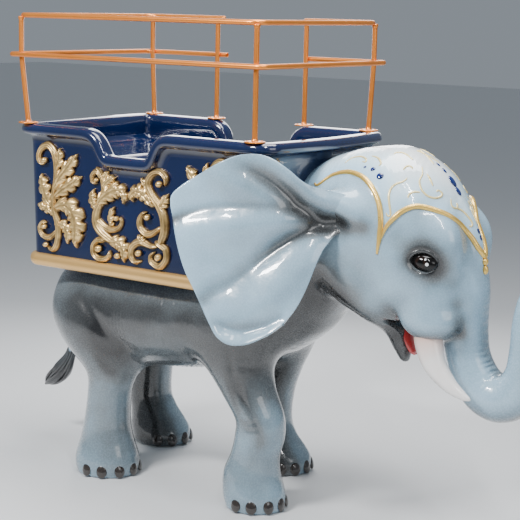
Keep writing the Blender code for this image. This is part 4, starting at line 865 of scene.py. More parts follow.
def spray_and_shade(points, normals, quads):
    """Lightness of the skin from 0 to 1: the barrel's paint darker than head and feet, with painted light
    and shade: pale where the form swells, dark in folds, under the head and between the legs, lighter on the body's
    undersides and upper flank, and the soft dark patches."""
    # Painted light and shade from the surface's bend: darker in hollows, paler on swellings.
    bend = ((neighbour_mean(points, quads, len(points)) - points) * normals).sum(1)
    bend = bend / np.sqrt(np.mean(np.sum((points[quads[:, 0]] - points[quads[:, 1]]) ** 2, 1)))
    x, y, z = points.T
    # Painted shade on faces turned down under the head and jaw; on the body the same term lightens the undersides as
    # painted light.
    under = step_curve(-normals[:, 2], 0.1, 0.9) * (1.40 * step_curve(x, 0.62, 0.72) - 0.40)
    # Painted shade on the inner faces of the legs, between them.
    inner = step_curve(-normals[:, 1] * np.sign(y), 0.15, 0.95)
    inner = inner * (1 - step_curve(x, 0.60, 0.70)) * (1 - step_curve(z, 0.46, 0.58))
    for _ in range(10):
        bend, under, inner = (neighbour_mean(value, quads, len(points))[:, 0] for value in (bend, under, inner))
    barrel = np.exp(-((x - 0.06) / 0.80) ** 4) * (1 - step_curve(x, 0.62, 0.80))
    barrel = barrel * (0.52 + 0.48 * step_curve(z, 0.34, 0.64))
    bend = np.where((x > 0.7) & (z < 1.0), 0.5 * bend, bend) * (1 - 0.6 * step_curve(z, 0.50, 0.60) * (x < 0.5))
    # The barrel's own darker paint, with painted light on its upper flank where the tub's moulding shades it.
    tone = 0.78 - 0.59 * barrel + 0.20 * barrel * step_curve(z, 0.76, 0.88)
    tone = tone - 0.34 * under - 0.50 * inner - np.clip(bend * 4.6, -0.10, 0.50)
    # The soft dark patches: airbrushed paint and painted shade.
    for sx, sy, sz, size, strength in SHADES:
        reach2 = (x - sx) ** 2 + (np.abs(y) - sy) ** 2 + (z - sz) ** 2
        tone -= strength * np.exp(-reach2 / size ** 2)
    return tone


def press_creases(points, normals, tone):
    """Push points in along each crease by depth times exp(-(d/width)^2), less at its ends, and paint shade into the
    tone along it.
    """
    for side, width, depth, crease_shade, route in CREASES:
        line = through(route, 60)
        taper = np.sin(np.linspace(0.08, math.pi - 0.08, 60)) ** 0.6
        near = np.flatnonzero((points[:, 1] * side > 0.05) & (points[:, 0] < 0.7)
                              & (normals[:, 1] * side > -0.2))
        gap = np.hypot(points[near, 0, None] - line[:, 0], points[near, 2, None] - line[:, 1])
        pick = gap.argmin(1)
        d = gap[np.arange(len(near)), pick]
        points[near] -= normals[near] * (depth * taper[pick] * np.exp(-(d / width) ** 2))[:, None]
        # Painted shade along the crease, wider than its groove.
        tone[near] -= crease_shade * taper[pick] * np.exp(-(d / (2.2 * width)) ** 2)


def skin_surface(low, high, pitch, hide, rounds):
    """Wrap the figure's field inside a box. hide gives the sign and place where the surface is
    drawn in a little, so that two boxes' surfaces cross at the neck without a step."""
    axes = [np.arange(a, b + pitch, pitch, dtype=np.float32) for a, b in zip(low, high)]
    field = elephant(axes)
    beyond = (hide * (axes[0] - NECK_SEAM))[:, None, None]
    field = np.maximum(field + np.where(beyond > 0, 0.10 * beyond, 0), beyond - 0.030)
    points, quads = wrap_surface(field, axes)
    points = relax(points, quads, rounds)
    return points, quads


BODY_PITCH, HEAD_PITCH = ((0.0090, 0.0062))
body_points, body_quads = skin_surface((-0.80, -0.50, -0.012), (0.74, 0.50, 1.44), BODY_PITCH, 1, 4)
head_points, head_quads = skin_surface((0.655, -0.37, 0.46), (1.75, 0.37, 1.56), HEAD_PITCH, -1, 5)
body_normals = point_normals(body_points, body_quads)
head_normals = point_normals(head_points, head_quads)
body_tone = spray_and_shade(body_points, body_normals, body_quads)
head_tone = spray_and_shade(head_points, head_normals, head_quads)
press_creases(body_points, body_normals, body_tone)
body_points[:, 2] = np.maximum(body_points[:, 2], 0.0)

# Rings across the front of the trunk follow its running length.
trunk_spine = through([(r[0], r[2]) for r in BODY], 900)
trunk_run = running_length(trunk_spine)


def length_down_trunk(points):
    """Running length of the figure's spine at the station nearest to each point's side view."""
    run = np.zeros(len(points))
    for start in range(0, len(points), 20000):
        some = slice(start, start + 20000)
        gap = (points[some, 0, None] - trunk_spine[:, 0]) ** 2 + (points[some, 2, None] - trunk_spine[:, 1]) ** 2
        run[some] = trunk_run[gap.argmin(1)]
    return run


head_tree = BVHTree.FromPolygons(head_points.tolist(), head_quads.tolist())


def skin_at_pixel(u, v):
    """The place on the head's skin that the photograph shows at a pixel."""
    across, down = (u - IMAGE_SIDE / 2) / LENS_PIXELS, (v - IMAGE_SIDE / 2) / LENS_PIXELS
    ray = -to_camera + rolled_right * across - rolled_up * down
    start = camera.matrix_world.translation - Vector((FIGURE_X, 0, 0))
    found = head_tree.ray_cast(start, ray.normalized())[0]
    return None if found is None else np.array(found)


# Painted cap on the skull. Its edge is a row of arches, one over each ear and each eye, drawn
# where the photograph shows them; behind the ear it is hidden and runs on to the neck.
EAR_ARCH = [(318, 185), (332, 175.5), (347, 172), (359, 175), (367.5, 181.5), (374.5, 192), (379, 204), (380.5, 216),
            (380.5, 226), (379, 240), (377, 254)]
BROW_ARCH = [(380.5, 238.5), (386.5, 226.5), (395, 217), (404.5, 210), (415.5, 206.5), (427.5, 208), (440, 212),
             (452, 218),
             (462, 226.5), (471, 237), (477.5, 247)]
CAP_TIP = (1.390, 0.0, 1.127)
CAP_EDGE = [(0.690, -0.200, 1.330), (0.740, -0.186, 1.362)] + [skin_at_pixel(u, v) for u, v in EAR_ARCH]
CAP_BROW = [skin_at_pixel(u, v) for u, v in BROW_ARCH] + [CAP_TIP]
CAP_CENTRE = np.array([1.020, 0.0, 1.080])


def seen_from_inside(points):
    """Directions from a point inside the skull, flattened: the angle from straight up is the
    distance from the middle."""
    d = unit(np.asarray(points, float) - CAP_CENTRE)
    angle = np.arccos(np.clip(d[:, 2], -1, 1))
    flat = np.hypot(d[:, 0], d[:, 1]) + 1e-9
    return np.stack([angle * d[:, 0] / flat, angle * d[:, 1] / flat], 1)


def far_edge(points):
    """The cap's left edge: the right one mirrored, and drawn in to the ridge of the forehead."""
    drawn_in = 1 - 0.38 * step_curve(points[:, 0], 1.19, 1.28)
    return points * np.stack([np.ones(len(points)), -drawn_in, np.ones(len(points))], 1)


right_edge = np.vstack([through(CAP_EDGE, 80), through(CAP_BROW, 80)])
left_edge = far_edge(right_edge)[::-1]
cap_loop = seen_from_inside(np.vstack([right_edge, left_edge]))


def depth_in_cap(points):
    """Signed distance from the cap's edge in the flattened view, positive inside it."""
    flat = seen_from_inside(points)
    a, b = cap_loop, np.roll(cap_loop, -1, 0)
    best = np.full(len(flat), 9.0)
    inside = np.zeros(len(flat), bool)
    for (ax, ay), (bx, by) in zip(a, b):
        px, py, ex, ey = flat[:, 0] - ax, flat[:, 1] - ay, bx - ax, by - ay
        t = np.clip((px * ex + py * ey) / (ex * ex + ey * ey + 1e-12), 0, 1)
        best = np.minimum(best, np.hypot(px - t * ex, py - t * ey))
        crosses = (ay > flat[:, 1]) != (by > flat[:, 1])
        if by != ay:
            inside ^= crosses & (px < ex * (flat[:, 1] - ay) / (by - ay))
    return np.where(inside, best, -best)


def shaded(tree, share, shades):
    """The colour of a ramp at a share, from the places and colours of its stops."""
    node = add_node(tree, "ValToRGB", {"Fac": share})
    stops = node.color_ramp.elements
    while len(stops) < len(shades):
        stops.new(0.5)
    for stop, (place, colour) in zip(stops, shades):
        stop.position = place
        stop.color = (*colour, 1)
    return node.outputs["Color"]


SKIN_SHADES = [(0.00, (0.010, 0.010, 0.011)), (0.22, (0.048, 0.052, 0.054)), (0.45, (0.140, 0.168, 0.184)),
               (0.68, (0.255, 0.378, 0.470)), (1.00, (0.435, 0.645, 0.810))]
# The tone mark holds the skin's paint with its painted light and shade; noise drifts it, and a ramp turns it into
# colour.
SPRAY_AND_SHADE_COAT, given, result = node_group("sprayed_and_shaded_skin", {"Tone": "Float"}, PAINT_OUTPUTS)
drift = noise(SPRAY_AND_SHADE_COAT, 5.5, 4.0, Roughness=0.55)
speck = noise(SPRAY_AND_SHADE_COAT, 150.0, 3.0)
sprayed_and_shaded = computed(SPRAY_AND_SHADE_COAT, "ADD", given["Tone"], mapped(SPRAY_AND_SHADE_COAT, drift, -0.17, 0.17))
sprayed_and_shaded = computed(SPRAY_AND_SHADE_COAT, "ADD", sprayed_and_shaded, mapped(SPRAY_AND_SHADE_COAT, speck, -0.045, 0.045))
feed(SPRAY_AND_SHADE_COAT, result, {"Color": shaded(SPRAY_AND_SHADE_COAT, sprayed_and_shaded, SKIN_SHADES),
                          "Roughness": mapped(SPRAY_AND_SHADE_COAT, speck, 0.20, 0.34),
                          "Height": noise(SPRAY_AND_SHADE_COAT, 11.0, 3.0, Roughness=0.5)})


def spray_and_shade_finish(name):
    """Blue-grey spray under clear gloss, with painted light and shade, read from the piece's tone mark."""
    finish, tree, surface = new_finish(name)
    group = add_node(tree, "Group", {"Tone": mark_value(tree, "tone")}, node_tree=SPRAY_AND_SHADE_COAT).outputs
    feed(tree, surface, {"Base Color": group["Color"], "Roughness": group["Roughness"],
                         "Coat Weight": 1.0, "Coat Roughness": 0.035})
    return finish, tree, surface, group


skin, tree, surface, group = spray_and_shade_finish("elephant_skin")
puckers = computed(tree, "MULTIPLY", noise(tree, 38.0, 3.0, Distortion=0.8), mark_value(tree, "wrinkled"))
broad = bumped(tree, group["Height"], 0.22, 0.022)
feed(tree, surface, {"Normal": bumped(tree, puckers, 0.55, 0.010, Normal=broad)})
x, y, z = body_points.T
knees = np.exp(-((z - 0.40) / 0.17) ** 2) * (np.abs(body_normals[:, 2]) < 0.8)
body_wrinkled = np.clip(0.10 + 0.55 * knees + 0.5 * np.clip(0.4 - body_tone, 0, 1), 0, 1)
body = lay_mesh("body_skin", (body_points, body_quads), skin, marks={"tone": body_tone, "wrinkled": body_wrinkled})
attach(body, "root")
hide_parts("torso", "leg_front_right", "leg_front_left", "leg_hind_right", "leg_hind_left", "tail")

CAP_SHADES = [(0.00, (0.330, 0.560, 0.760)), (0.20, (0.580, 0.780, 0.900)), (0.50, (0.860, 0.920, 0.940)),
              (1.00, (0.920, 0.940, 0.940))]
RING_SPACING = 0.031
head_skin, tree, surface, group = spray_and_shade_finish("elephant_head_skin")
cap_mark = mark_value(tree, "cap")
painted = mixed(tree, mapped(tree, cap_mark, start=-0.01, end=0.01), group["Color"], shaded(tree, cap_mark, CAP_SHADES))
waves = computed(tree, "MULTIPLY", mark_value(tree, "run"), 2 * math.pi / RING_SPACING)
wandering = computed(tree, "MULTIPLY_ADD", noise(tree, 16.0, 2.0), 7.0, waves)
rings = computed(tree, "MULTIPLY", computed(tree, "SINE", wandering), mark_value(tree, "wrinkled"))
broad = bumped(tree, group["Height"], 0.18, 0.020)
feed(tree, surface, {"Base Color": painted, "Normal": bumped(tree, rings, 0.6, 0.0050, Normal=broad)})

x, y, z = head_points.T
head_run = length_down_trunk(head_points)
on_trunk = step_curve(head_run, 2.10, 2.40) * (1 - step_curve(z, 1.06, 1.16) * (x < 1.5))
head_front = step_curve(np.abs(y) * -1, -0.060, -0.015)
head_wrinkled = on_trunk * (0.06 + 0.60 * head_front)
head_cap = depth_in_cap(head_points) * step_curve(z, 1.06, 1.10) + (step_curve(z, 1.06, 1.10) - 1) * 0.5
head_tone = head_tone - 0.20 * on_trunk * head_front
head = lay_mesh("head_skin", (head_points, head_quads), head_skin,
                marks={"tone": head_tone, "wrinkled": head_wrinkled, "run": head_run, "cap": head_cap})
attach(head, "root")
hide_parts("head", "trunk", "lower_jaw")


# Ears
# Two wide ears of thin moulding, joined to the skull in front and waved like a sheet. Deep
# folds run from the root to the rim, and the lower lip rolls outwards.

EAR_MIDDLE, EAR_UNIT, EAR_LEVEL = np.array([0.6367, -0.4775, 1.1895]), 0.000514, 0.950
EAR_TOP = [(1620, 500), (1500, 440), (1360, 392), (1250, 366), (1180, 338), (1120, 298), (1050, 235), (970, 175),
           (900, 135), (830, 112), (760, 105)]
EAR_RIM = [(760, 105), (660, 116), (560, 150), (450, 205), (350, 265), (250, 325), (165, 400), (150, 470), (166, 570),
           (183, 690), (215, 840), (260, 980), (315, 1095), (370, 1215), (430, 1350), (495, 1470), (580, 1528),
           (680, 1536), (780, 1510), (880, 1460), (950, 1415), (1000, 1370)]
EAR_FRONT = [(1450, 690), (1385, 715), (1335, 765), (1290, 825), (1240, 930), (1190, 1060), (1130, 1190),
             (1070, 1290), (1000, 1370)]
EAR_ROOT = [(1620, 500), (1570, 560), (1510, 620), (1450, 690)]
EAR_DEPTHS = [(760, 105, 1.010), (1000, 215, 1.012), (1250, 368, 0.985), (1600, 480, 0.945), (1450, 690, 0.925),
              (145, 425, 0.900), (178, 640, 0.905), (245, 940, 0.915), (350, 1170, 0.930), (520, 1480, 0.945),
              (680, 1530, 0.960), (1000, 1370, 0.985), (1190, 1060, 0.985), (1335, 765, 0.955), (700, 700, 0.955),
              (1000, 900, 0.965), (400, 900, 0.930)]
# Folds: half width, then points x, y and height in millimetres towards the front, valleys below 0.
EAR_FOLDS = [
    (78, [(800, 130, 6), (900, 175, 12), (1000, 245, 18), (1080, 325, 22), (1180, 415, 26), (1290, 462, 30),
          (1420, 492, 34), (1600, 540, 36)]),
    (76, [(620, 190, -3), (740, 222, -12), (850, 270, -22), (950, 335, -28), (1030, 405, -30), (1120, 490, -30),
          (1220, 570, -28),
          (1320, 612, -24), (1500, 620, -20)]),
    (110, [(900, 410, 8), (700, 350, 12), (480, 300, 12), (300, 350, 6)]),
    (55, [(180, 590, -9), (320, 540, -9), (500, 505, -6), (800, 490, -6), (1050, 520, -8)]),
    (150, [(1130, 640, 22), (1000, 620, 36), (800, 620, 44), (600, 640, 40), (420, 660, 26), (260, 690, 10)]),
    (70, [(1260, 655, -22), (1130, 696, -30), (1040, 735, -32), (950, 795, -32), (860, 868, -28), (740, 965, -20),
          (600, 1065, -15),
          (480, 1125, -12), (380, 1190, -8)]),
    (120, [(1320, 760, 8), (1180, 880, 18), (1030, 1020, 22), (880, 1180, 22), (720, 1300, 14)]),
    (48, [(470, 1390, -4), (560, 1400, -9), (700, 1430, -11), (860, 1400, -11), (980, 1335, -8)]),
    (62, [(430, 1330, 6), (500, 1480, 20), (600, 1540, 28), (720, 1540, 30), (880, 1470, 26), (1000, 1385, 18),
          (1070, 1290, 6)])]
# Painted shade along the ear's fold valleys and inside its lower lip: half width, then points x, y and darkness.
EAR_FOLD_SHADE = [
    (82, [(640, 182, 0.12), (760, 226, 0.24), (900, 300, 0.36), (1030, 402, 0.42), (1150, 510, 0.44),
          (1270, 590, 0.46), (1400, 622, 0.50),
          (1560, 610, 0.52)]),
    (48, [(175, 600, 0.42), (300, 548, 0.30), (450, 508, 0.20), (650, 492, 0.12), (900, 502, 0.14),
          (1130, 548, 0.26)]),
    (66, [(1300, 640, 0.40), (1190, 672, 0.44), (1040, 732, 0.42), (950, 790, 0.36), (860, 866, 0.26),
          (740, 962, 0.20), (600, 1062, 0.18),
          (480, 1122, 0.20), (400, 1190, 0.28)]),
    (60, [(1420, 700, 0.25), (1330, 700, 0.15), (1250, 720, 0.10)]),
    (170, [(520, 330, 0.05), (760, 420, 0.08), (1000, 520, 0.08)]),
    (42, [(480, 1370, 0.12), (640, 1392, 0.16), (860, 1372, 0.16), (960, 1330, 0.12)])]


def near_line(x, y, line):
    """Distance from places on the drawing to a bent line, and its third number at that point."""
    best, value = np.full(x.shape, 1e9), np.zeros(x.shape)
    for (ax, ay, av), (bx, by, bv) in zip(line, line[1:]):
        t = np.clip(((x - ax) * (bx - ax) + (y - ay) * (by - ay)) / ((bx - ax) ** 2 + (by - ay) ** 2), 0, 1)
        gap = np.hypot(x - ax - t * (bx - ax), y - ay - t * (by - ay))
        value = np.where(gap < best, av + t * (bv - av), value)
        best = np.minimum(gap, best)
    return best, value


def drawn_sum(x, y, strokes):
    """Sum over the strokes of value times exp(-(distance / half width)^2)."""
    total = np.zeros(x.shape)
    for width, line in strokes:
        gap, value = near_line(x, y, line)
        total += value * np.exp(-(gap / width) ** 2)
    return total


def evenly(points, places):
    """Places at shares of the running length of a smooth curve through the points."""
    curve = through(points, 400)
    run = running_length(curve)
    return np.stack([np.interp(places * run[-1], run, curve[:, n]) for n in range(curve.shape[1])], 1)


def ear_shell(rows=150, columns=112):
    """The ear is drawn flat, in units of 0.514 mm, and raised along its facing direction. The
    flat net fills its four edges (root, top, rim, front) as a Coons patch: the sum of the two
    straight blends less the blend of the corners."""
    s = ((1 - np.cos(np.linspace(0, math.pi, rows))) / 2)[:, None, None]
    t = ((1 - np.cos(np.linspace(0, math.pi, columns))) / 2)[None, :, None]
    top, front = evenly(EAR_TOP, t.ravel())[None], evenly(EAR_FRONT, t.ravel())[None]
    root, rim = evenly(EAR_ROOT, s.ravel())[:, None], evenly(EAR_RIM, s.ravel())[:, None]
    corners = ((1 - s) * ((1 - t) * root[:1] + t * rim[:1]) + s * ((1 - t) * root[-1:] + t * rim[-1:]))
    flat = (1 - t) * root + t * rim + (1 - s) * top + s * front - corners
    x, y = flat[..., 0], flat[..., 1]
    shares = [np.exp(-((x - ax) ** 2 + (y - ay) ** 2) / 260.0 ** 2) + 1e-6 for ax, ay, _ in EAR_DEPTHS]
    level = sum(share * depth for share, (_, _, depth) in zip(shares, EAR_DEPTHS)) / sum(shares)
    folds = drawn_sum(x, y, EAR_FOLDS) / 1000
    out = level - EAR_LEVEL + folds
    unit_there = EAR_UNIT * (1 - out / 5.8)
    sheet = (EAR_MIDDLE + np.array(rolled_right) * ((x - 750) * unit_there)[..., None]
             + np.array(rolled_up) * ((700 - y) * unit_there)[..., None] + np.array(to_camera) * out[..., None])
    normal = unit(np.cross(np.gradient(sheet, axis=1), np.gradient(sheet, axis=0)))
    normal = normal * np.sign(normal @ np.array(to_camera))[..., None]
    gaps = [np.linalg.norm(sheet - edge, axis=-1) for edge in (sheet[:1], sheet[-1:], sheet[:, -1:])]
    near = np.minimum(np.minimum(gaps[0], gaps[1]), gaps[2])
    rounding = np.sqrt(np.clip(1 - (1 - np.clip(near / 0.0095, 0, 1)) ** 2, 0, 1))
    roll = np.exp(-(gaps[0] / 0.05) ** 2) * step_curve(x, 800, 1500)
    thick = (0.0165 + 0.030 * roll + 0.020 * step_curve(x, 1300, 1500)) * rounding
    front_side, back_side = sheet + normal * (0.35 * thick)[..., None], sheet - normal * (0.65 * thick)[..., None]
    on_border = np.zeros((rows, columns), bool)
    on_border[0], on_border[-1], on_border[:, -1] = True, True, True
    grid = np.arange(rows * columns)
    twin = np.where(on_border.ravel(), grid, grid + rows * columns)
    front_faces = grid_faces(rows, columns)
    root_line = np.arange(rows) * columns
    faces = np.vstack([front_faces, twin[front_faces][:, ::-1],
                       np.stack([twin[root_line[:-1]], twin[root_line[1:]], root_line[1:], root_line[:-1]], 1)])
    points = np.vstack([front_side.reshape(-1, 3), back_side.reshape(-1, 3)])
    # The front face: painted shade along the fold valleys, lighter towards the rear rim. The back face: darker towards
    # the root.
    tone = np.maximum(0.80 - 1.25 * drawn_sum(x, y, EAR_FOLD_SHADE) + 0.12 * step_curve(x, 700, 200), 0.15)
    back_tone = 0.62 - 0.25 * step_curve(x, 700, 1400)
    used = np.unique(faces)
    renumber = np.zeros(len(points), int)
    renumber[used] = np.arange(len(used))
    return points[used], renumber[faces], np.concatenate([tone.ravel(), back_tone.ravel()])[used]


ear_points, ear_faces, ear_tone = ear_shell()
a, b, c, d = ear_points[ear_faces[len(ear_faces) // 4]]
if np.cross(c - a, d - b) @ np.array(to_camera) < 0:
    ear_faces = ear_faces[:, ::-1]
for side, name in ((1, "ear_right"), (-1, "ear_left")):
    points = ear_points * [1, side, 1]
    if side < 0:
        points[:, 2] -= 0.045 * step_curve(points[:, 2], 1.25, 1.50)
    piece = lay_mesh(name + "_shell", (points, ear_faces[:, ::side]), skin,
                     marks={"tone": ear_tone, "wrinkled": np.full(len(points), 0.05)})
    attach(piece, "root")
    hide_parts(name)


# Eyes
# Glossy black eyes with a brown ring and two white spots of painted highlight where the lights' reflections
# fall, set behind thick lids that are airbrushed nearly black.

EYE_CENTRE = np.array([1.243, -0.190, 1.116])
EYE_HALF = np.array([0.056, 0.037, 0.034])
EYE_TILT = math.radians(-9)


def ellipsoid(half, rows, sides):
    """An ellipsoid as rings from pole to pole about its sideways (y) axis."""
    polar = np.linspace(0, math.pi, rows)[:, None]
    turn = np.linspace(0, 2 * math.pi, sides, endpoint=False)[None, :]
    ring = np.sin(np.clip(polar, 0.02, math.pi - 0.02))
    return half * np.stack([ring * np.cos(turn), -np.cos(polar) * np.ones_like(turn), ring * np.sin(turn)], -1)


IRIS_SHADES = [(0.30, (0.0015, 0.0012, 0.0012)), (0.62, (0.030, 0.012, 0.006)), (0.90, (0.006, 0.005, 0.005))]
eye_finish, tree, surface = new_finish("eye_gloss")
iris = shaded(tree, mark_value(tree, "iris"), IRIS_SHADES)
flecked = mixed(tree, noise(tree, 120.0, 2.0), iris, (0.002, 0.002, 0.002, 1))
# The white spots are painted highlight.
painted_highlight = mapped(tree, mark_value(tree, "painted_highlight"), start=0.45, end=0.55)
feed(tree, surface, {"Base Color": mixed(tree, painted_highlight, flecked, (0.92, 0.93, 0.94, 1)), "Roughness": 0.12,
                     "Specular IOR Level": 0.2, "Coat Weight": 0.35, "Coat Roughness": 0.02})

lid_finish, tree, surface, group = spray_and_shade_finish("eyelid_skin")
feed(tree, surface, {"Normal": bumped(tree, group["Height"], 0.2, 0.004)})


def onto_skin(points, lift=0.0):
    """Each point moved to the nearest place on the head's skin and raised along its normal."""
    found = [head_tree.find_nearest(Vector(point))[:2] for point in np.asarray(points, float)]
    return np.array([place + normal * lift for place, normal in found]), np.array([normal for _, normal in found])


def raised_rings(line, normals, ahead, high, wide, sides):
    """Rings round a line on the skin, given heights above it and widths along it."""
    outward = unit(normals - (ahead * normals).sum(1, keepdims=True) * ahead)
    return rings_round(line, outward, np.cross(ahead, outward), high, wide, sides)


# Two white spots of painted highlight on each eye, where the lights' reflections fall: place across and up, and size.
PAINTED_HIGHLIGHT_SPOTS = [((0.0265, 0.0010), 0.0062), ((0.0155, 0.0175), 0.0036)]
IRIS_RADIUS = 0.030
turn_x = np.array([math.cos(EYE_TILT), 0, math.sin(EYE_TILT)])
turn_z = np.array([-math.sin(EYE_TILT), 0, math.cos(EYE_TILT)])
for side, name in ((1, "eye_right"), (-1, "eye_left")):
    ball = ellipsoid(EYE_HALF, 60, 72)
    across, height = ball[..., 0], ball[..., 2]
    ring = np.hypot(across, height) / IRIS_RADIUS
    painted_highlight = np.maximum(0, np.max([1 - 0.5 * np.hypot(across - gx, height - gz) / size
                                  for (gx, gz), size in PAINTED_HIGHLIGHT_SPOTS], axis=0)) * (ball[..., 1] < 0)
    rings = EYE_CENTRE + across[..., None] * turn_x + ball[..., 1:2] * [0, 1, 0] + height[..., None] * turn_z
    points, quads, tris = close_ends(rings * [1, side, 1])
    marks = {"iris": np.append(ring.ravel(), [0, 0]), "painted_highlight": np.append(painted_highlight.ravel(), [0, 0])}
    eye = lay_mesh(name + "_ball", (points, quads[:, ::-side], tris[:, ::-side]), eye_finish, marks=marks)
    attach(eye, "root")
    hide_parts(name)
    # Lids: a soft roll along an almond, thick above and thin below, tucked in at the corners.
    around = np.linspace(0, 2 * math.pi, 96, endpoint=False)
    level = np.sin(around)
    almond_x = 0.062 * np.cos(around)
    almond_z = 0.034 * np.sign(level) * np.abs(level) ** 1.25 * np.where(level > 0, 1.0, 0.80)
    route = EYE_CENTRE + [0, -0.030, 0] + almond_x[:, None] * turn_x + almond_z[:, None] * turn_z
    placed, normals = onto_skin(route, -0.0015)
    upper = np.clip(level, 0, 1)
    size = 0.0040 + 0.0032 * upper
    ahead = unit(np.roll(placed, -1, 0) - np.roll(placed, 1, 0))
    points = raised_rings(placed, normals, ahead, size, 1.35 * size, 20) * [1, side, 1]
    tone = np.repeat(0.08 + 0.06 * upper + 0.30 * np.clip(-level - 0.3, 0, 1), 20)
    quads = grid_faces(96, 20, True, True)
    lids = lay_mesh(name + "_lids", (points, quads[:, ::-side]), lid_finish, marks={"tone": tone})
    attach(lids, "root")


# Tusks, mouth and nails
# The tusks are cast in ivory-coloured gloss, flushed pink where they leave the lip. The tongue
# is bright red gloss. The nails are dark ovals cast with the feet.

IVORY_SHADES = [(0.00, (0.50, 0.24, 0.17)), (0.24, (0.84, 0.56, 0.47)), (0.42, (0.96, 0.93, 0.91)),
                (1.00, (0.98, 0.98, 0.97))]
ivory, tree, surface = new_finish("ivory")
stretch = add_node(tree, "Mapping", {"Vector": object_place(tree), "Scale": (9.0, 60.0, 5.0)})
grain = noise(tree, 3.0, 4.0, stretch.outputs["Vector"])
flushed = shaded(tree, mark_value(tree, "down"), IVORY_SHADES)
feed(tree, surface, {
    "Base Color": mixed(tree, grain, flushed, (0.96, 0.93, 0.90, 1), blend_type="MULTIPLY"),
    "Normal": bumped(tree, grain, 0.10, 0.003), "Roughness": 0.24, "Coat Weight": 0.8, "Coat Roughness": 0.05})

TUSK = [(1.226, -0.118, 0.905, 0.050), (1.229, -0.122, 0.865, 0.056), (1.239, -0.130, 0.800, 0.057),
        (1.277, -0.146, 0.720, 0.047), (1.350, -0.160, 0.655, 0.032), (1.412, -0.166, 0.622, 0.018),
        (1.440, -0.168, 0.613, 0.009), (1.449, -0.1685, 0.611, 0.002)]
for side, name in ((1, "tusk_right"), (-1, "tusk_left")):
    spine = through(TUSK, 90)
    shape = tube_along(spine[:, :3] * [1, side, 1], spine[:, 3], 32, (1.0, 0.0, 0.4), spine[:, 3] * 0.88)
    down = np.append(np.repeat(np.linspace(0, 1, 90), 32), [0, 1])
    tusk = lay_mesh(name + "_cast", shape, ivory, marks={"down": down})
    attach(tusk, "root")
    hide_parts(name)

red, tree, surface = new_finish("tongue_red")
buds = add_node(tree, "TexVoronoi", {"Vector": object_place(tree), "Scale": 260.0}).outputs["Distance"]
feed(tree, surface, {"Base Color": mixed(tree, buds, (0.50, 0.012, 0.014, 1), (0.66, 0.035, 0.030, 1)),
                     "Normal": bumped(tree, buds, 0.2, 0.001), "Roughness": 0.25, "Coat Weight": 0.9})
TONGUE = [(1.024, 0, 0.895, 0.012, 0.026), (1.044, 0, 0.855, 0.014, 0.030), (1.068, 0, 0.808, 0.018, 0.040),
          (1.090, 0, 0.758, 0.020, 0.046), (1.106, 0, 0.720, 0.015, 0.036), (1.113, 0, 0.704, 0.005, 0.014)]
spine = through(TONGUE, 60)
points, quads, tris = tube_along(spine[:, :3], spine[:, 3], 32, (1.0, 0.0, 0.5), spine[:, 4])
groove = np.append(np.tile(np.cos(np.linspace(0, 2 * math.pi, 32, endpoint=False)) ** 12, 60), [0, 0])
points = points - groove[:, None] * np.array([0.006, 0.0, 0.003])
tongue = lay_mesh("tongue_gloss", (points, quads, tris), red)
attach(tongue, "root")
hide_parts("tongue")

nail_finish, tree, surface = new_finish("nail_brown")
horn = noise(tree, 60.0, 3.0)
feed(tree, surface, {"Base Color": mixed(tree, horn, (0.006, 0.005, 0.005, 1), (0.050, 0.036, 0.028, 1)),
                     "Normal": bumped(tree, horn, 0.3, 0.002), "Roughness": 0.22,
                     "Coat Weight": 1.0, "Coat Roughness": 0.05})

body_tree = BVHTree.FromPolygons(body_points.tolist(), body_quads.tolist())
NAIL_TURNS = {"right": (-91, -59, -27, 2, 30), "left": (-56, -28, 0, 29, 62)}
parts = []
polar = np.linspace(0, math.pi, 15)[:, None]
turn = -np.linspace(0, 2 * math.pi, 24, endpoint=False)[None, :]
ring = np.sin(np.clip(polar, 0.03, 3.11))
height = 0.0295 * np.cos(polar) + 0 * turn
width = 0.0235 * ring ** 0.85 * np.sin(turn)
proud = 0.0120 * ring * np.cos(turn) - 0.20 * (height - 0.01)
for foot, stations in LEGS.items():
    centre = np.array([*stations[-2][:2], 0.034])
    for angle in np.radians(NAIL_TURNS[foot.split("_")[1]]):
        out = np.array([math.cos(angle), math.sin(angle), 0.0])
        side = np.array([-out[1], out[0], 0.0])
        found = body_tree.ray_cast(Vector(centre + out * 0.4), Vector(-out))[0]
        nail = np.array(found) - out * 0.004 + side * width[..., None] + out * proud[..., None]
        nail[..., 2] = np.maximum(nail[..., 2] + height, 0.0015)
        parts.append(close_ends(nail))
nails = lay_mesh("toe_nails", gather(parts), nail_finish)
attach(nails, "root")


# Tail tuft
# The tuft is cast in one with the tail, as a bundle of tapering locks, and painted near black.

hair_finish, tree, surface = new_finish("tail_hair")
hair = mixed(tree, noise(tree, 90.0, 4.0), (0.006, 0.006, 0.007, 1), (0.085, 0.085, 0.088, 1))
height = add_node(tree, "SeparateXYZ", {"Vector": object_place(tree)}).outputs["Z"]
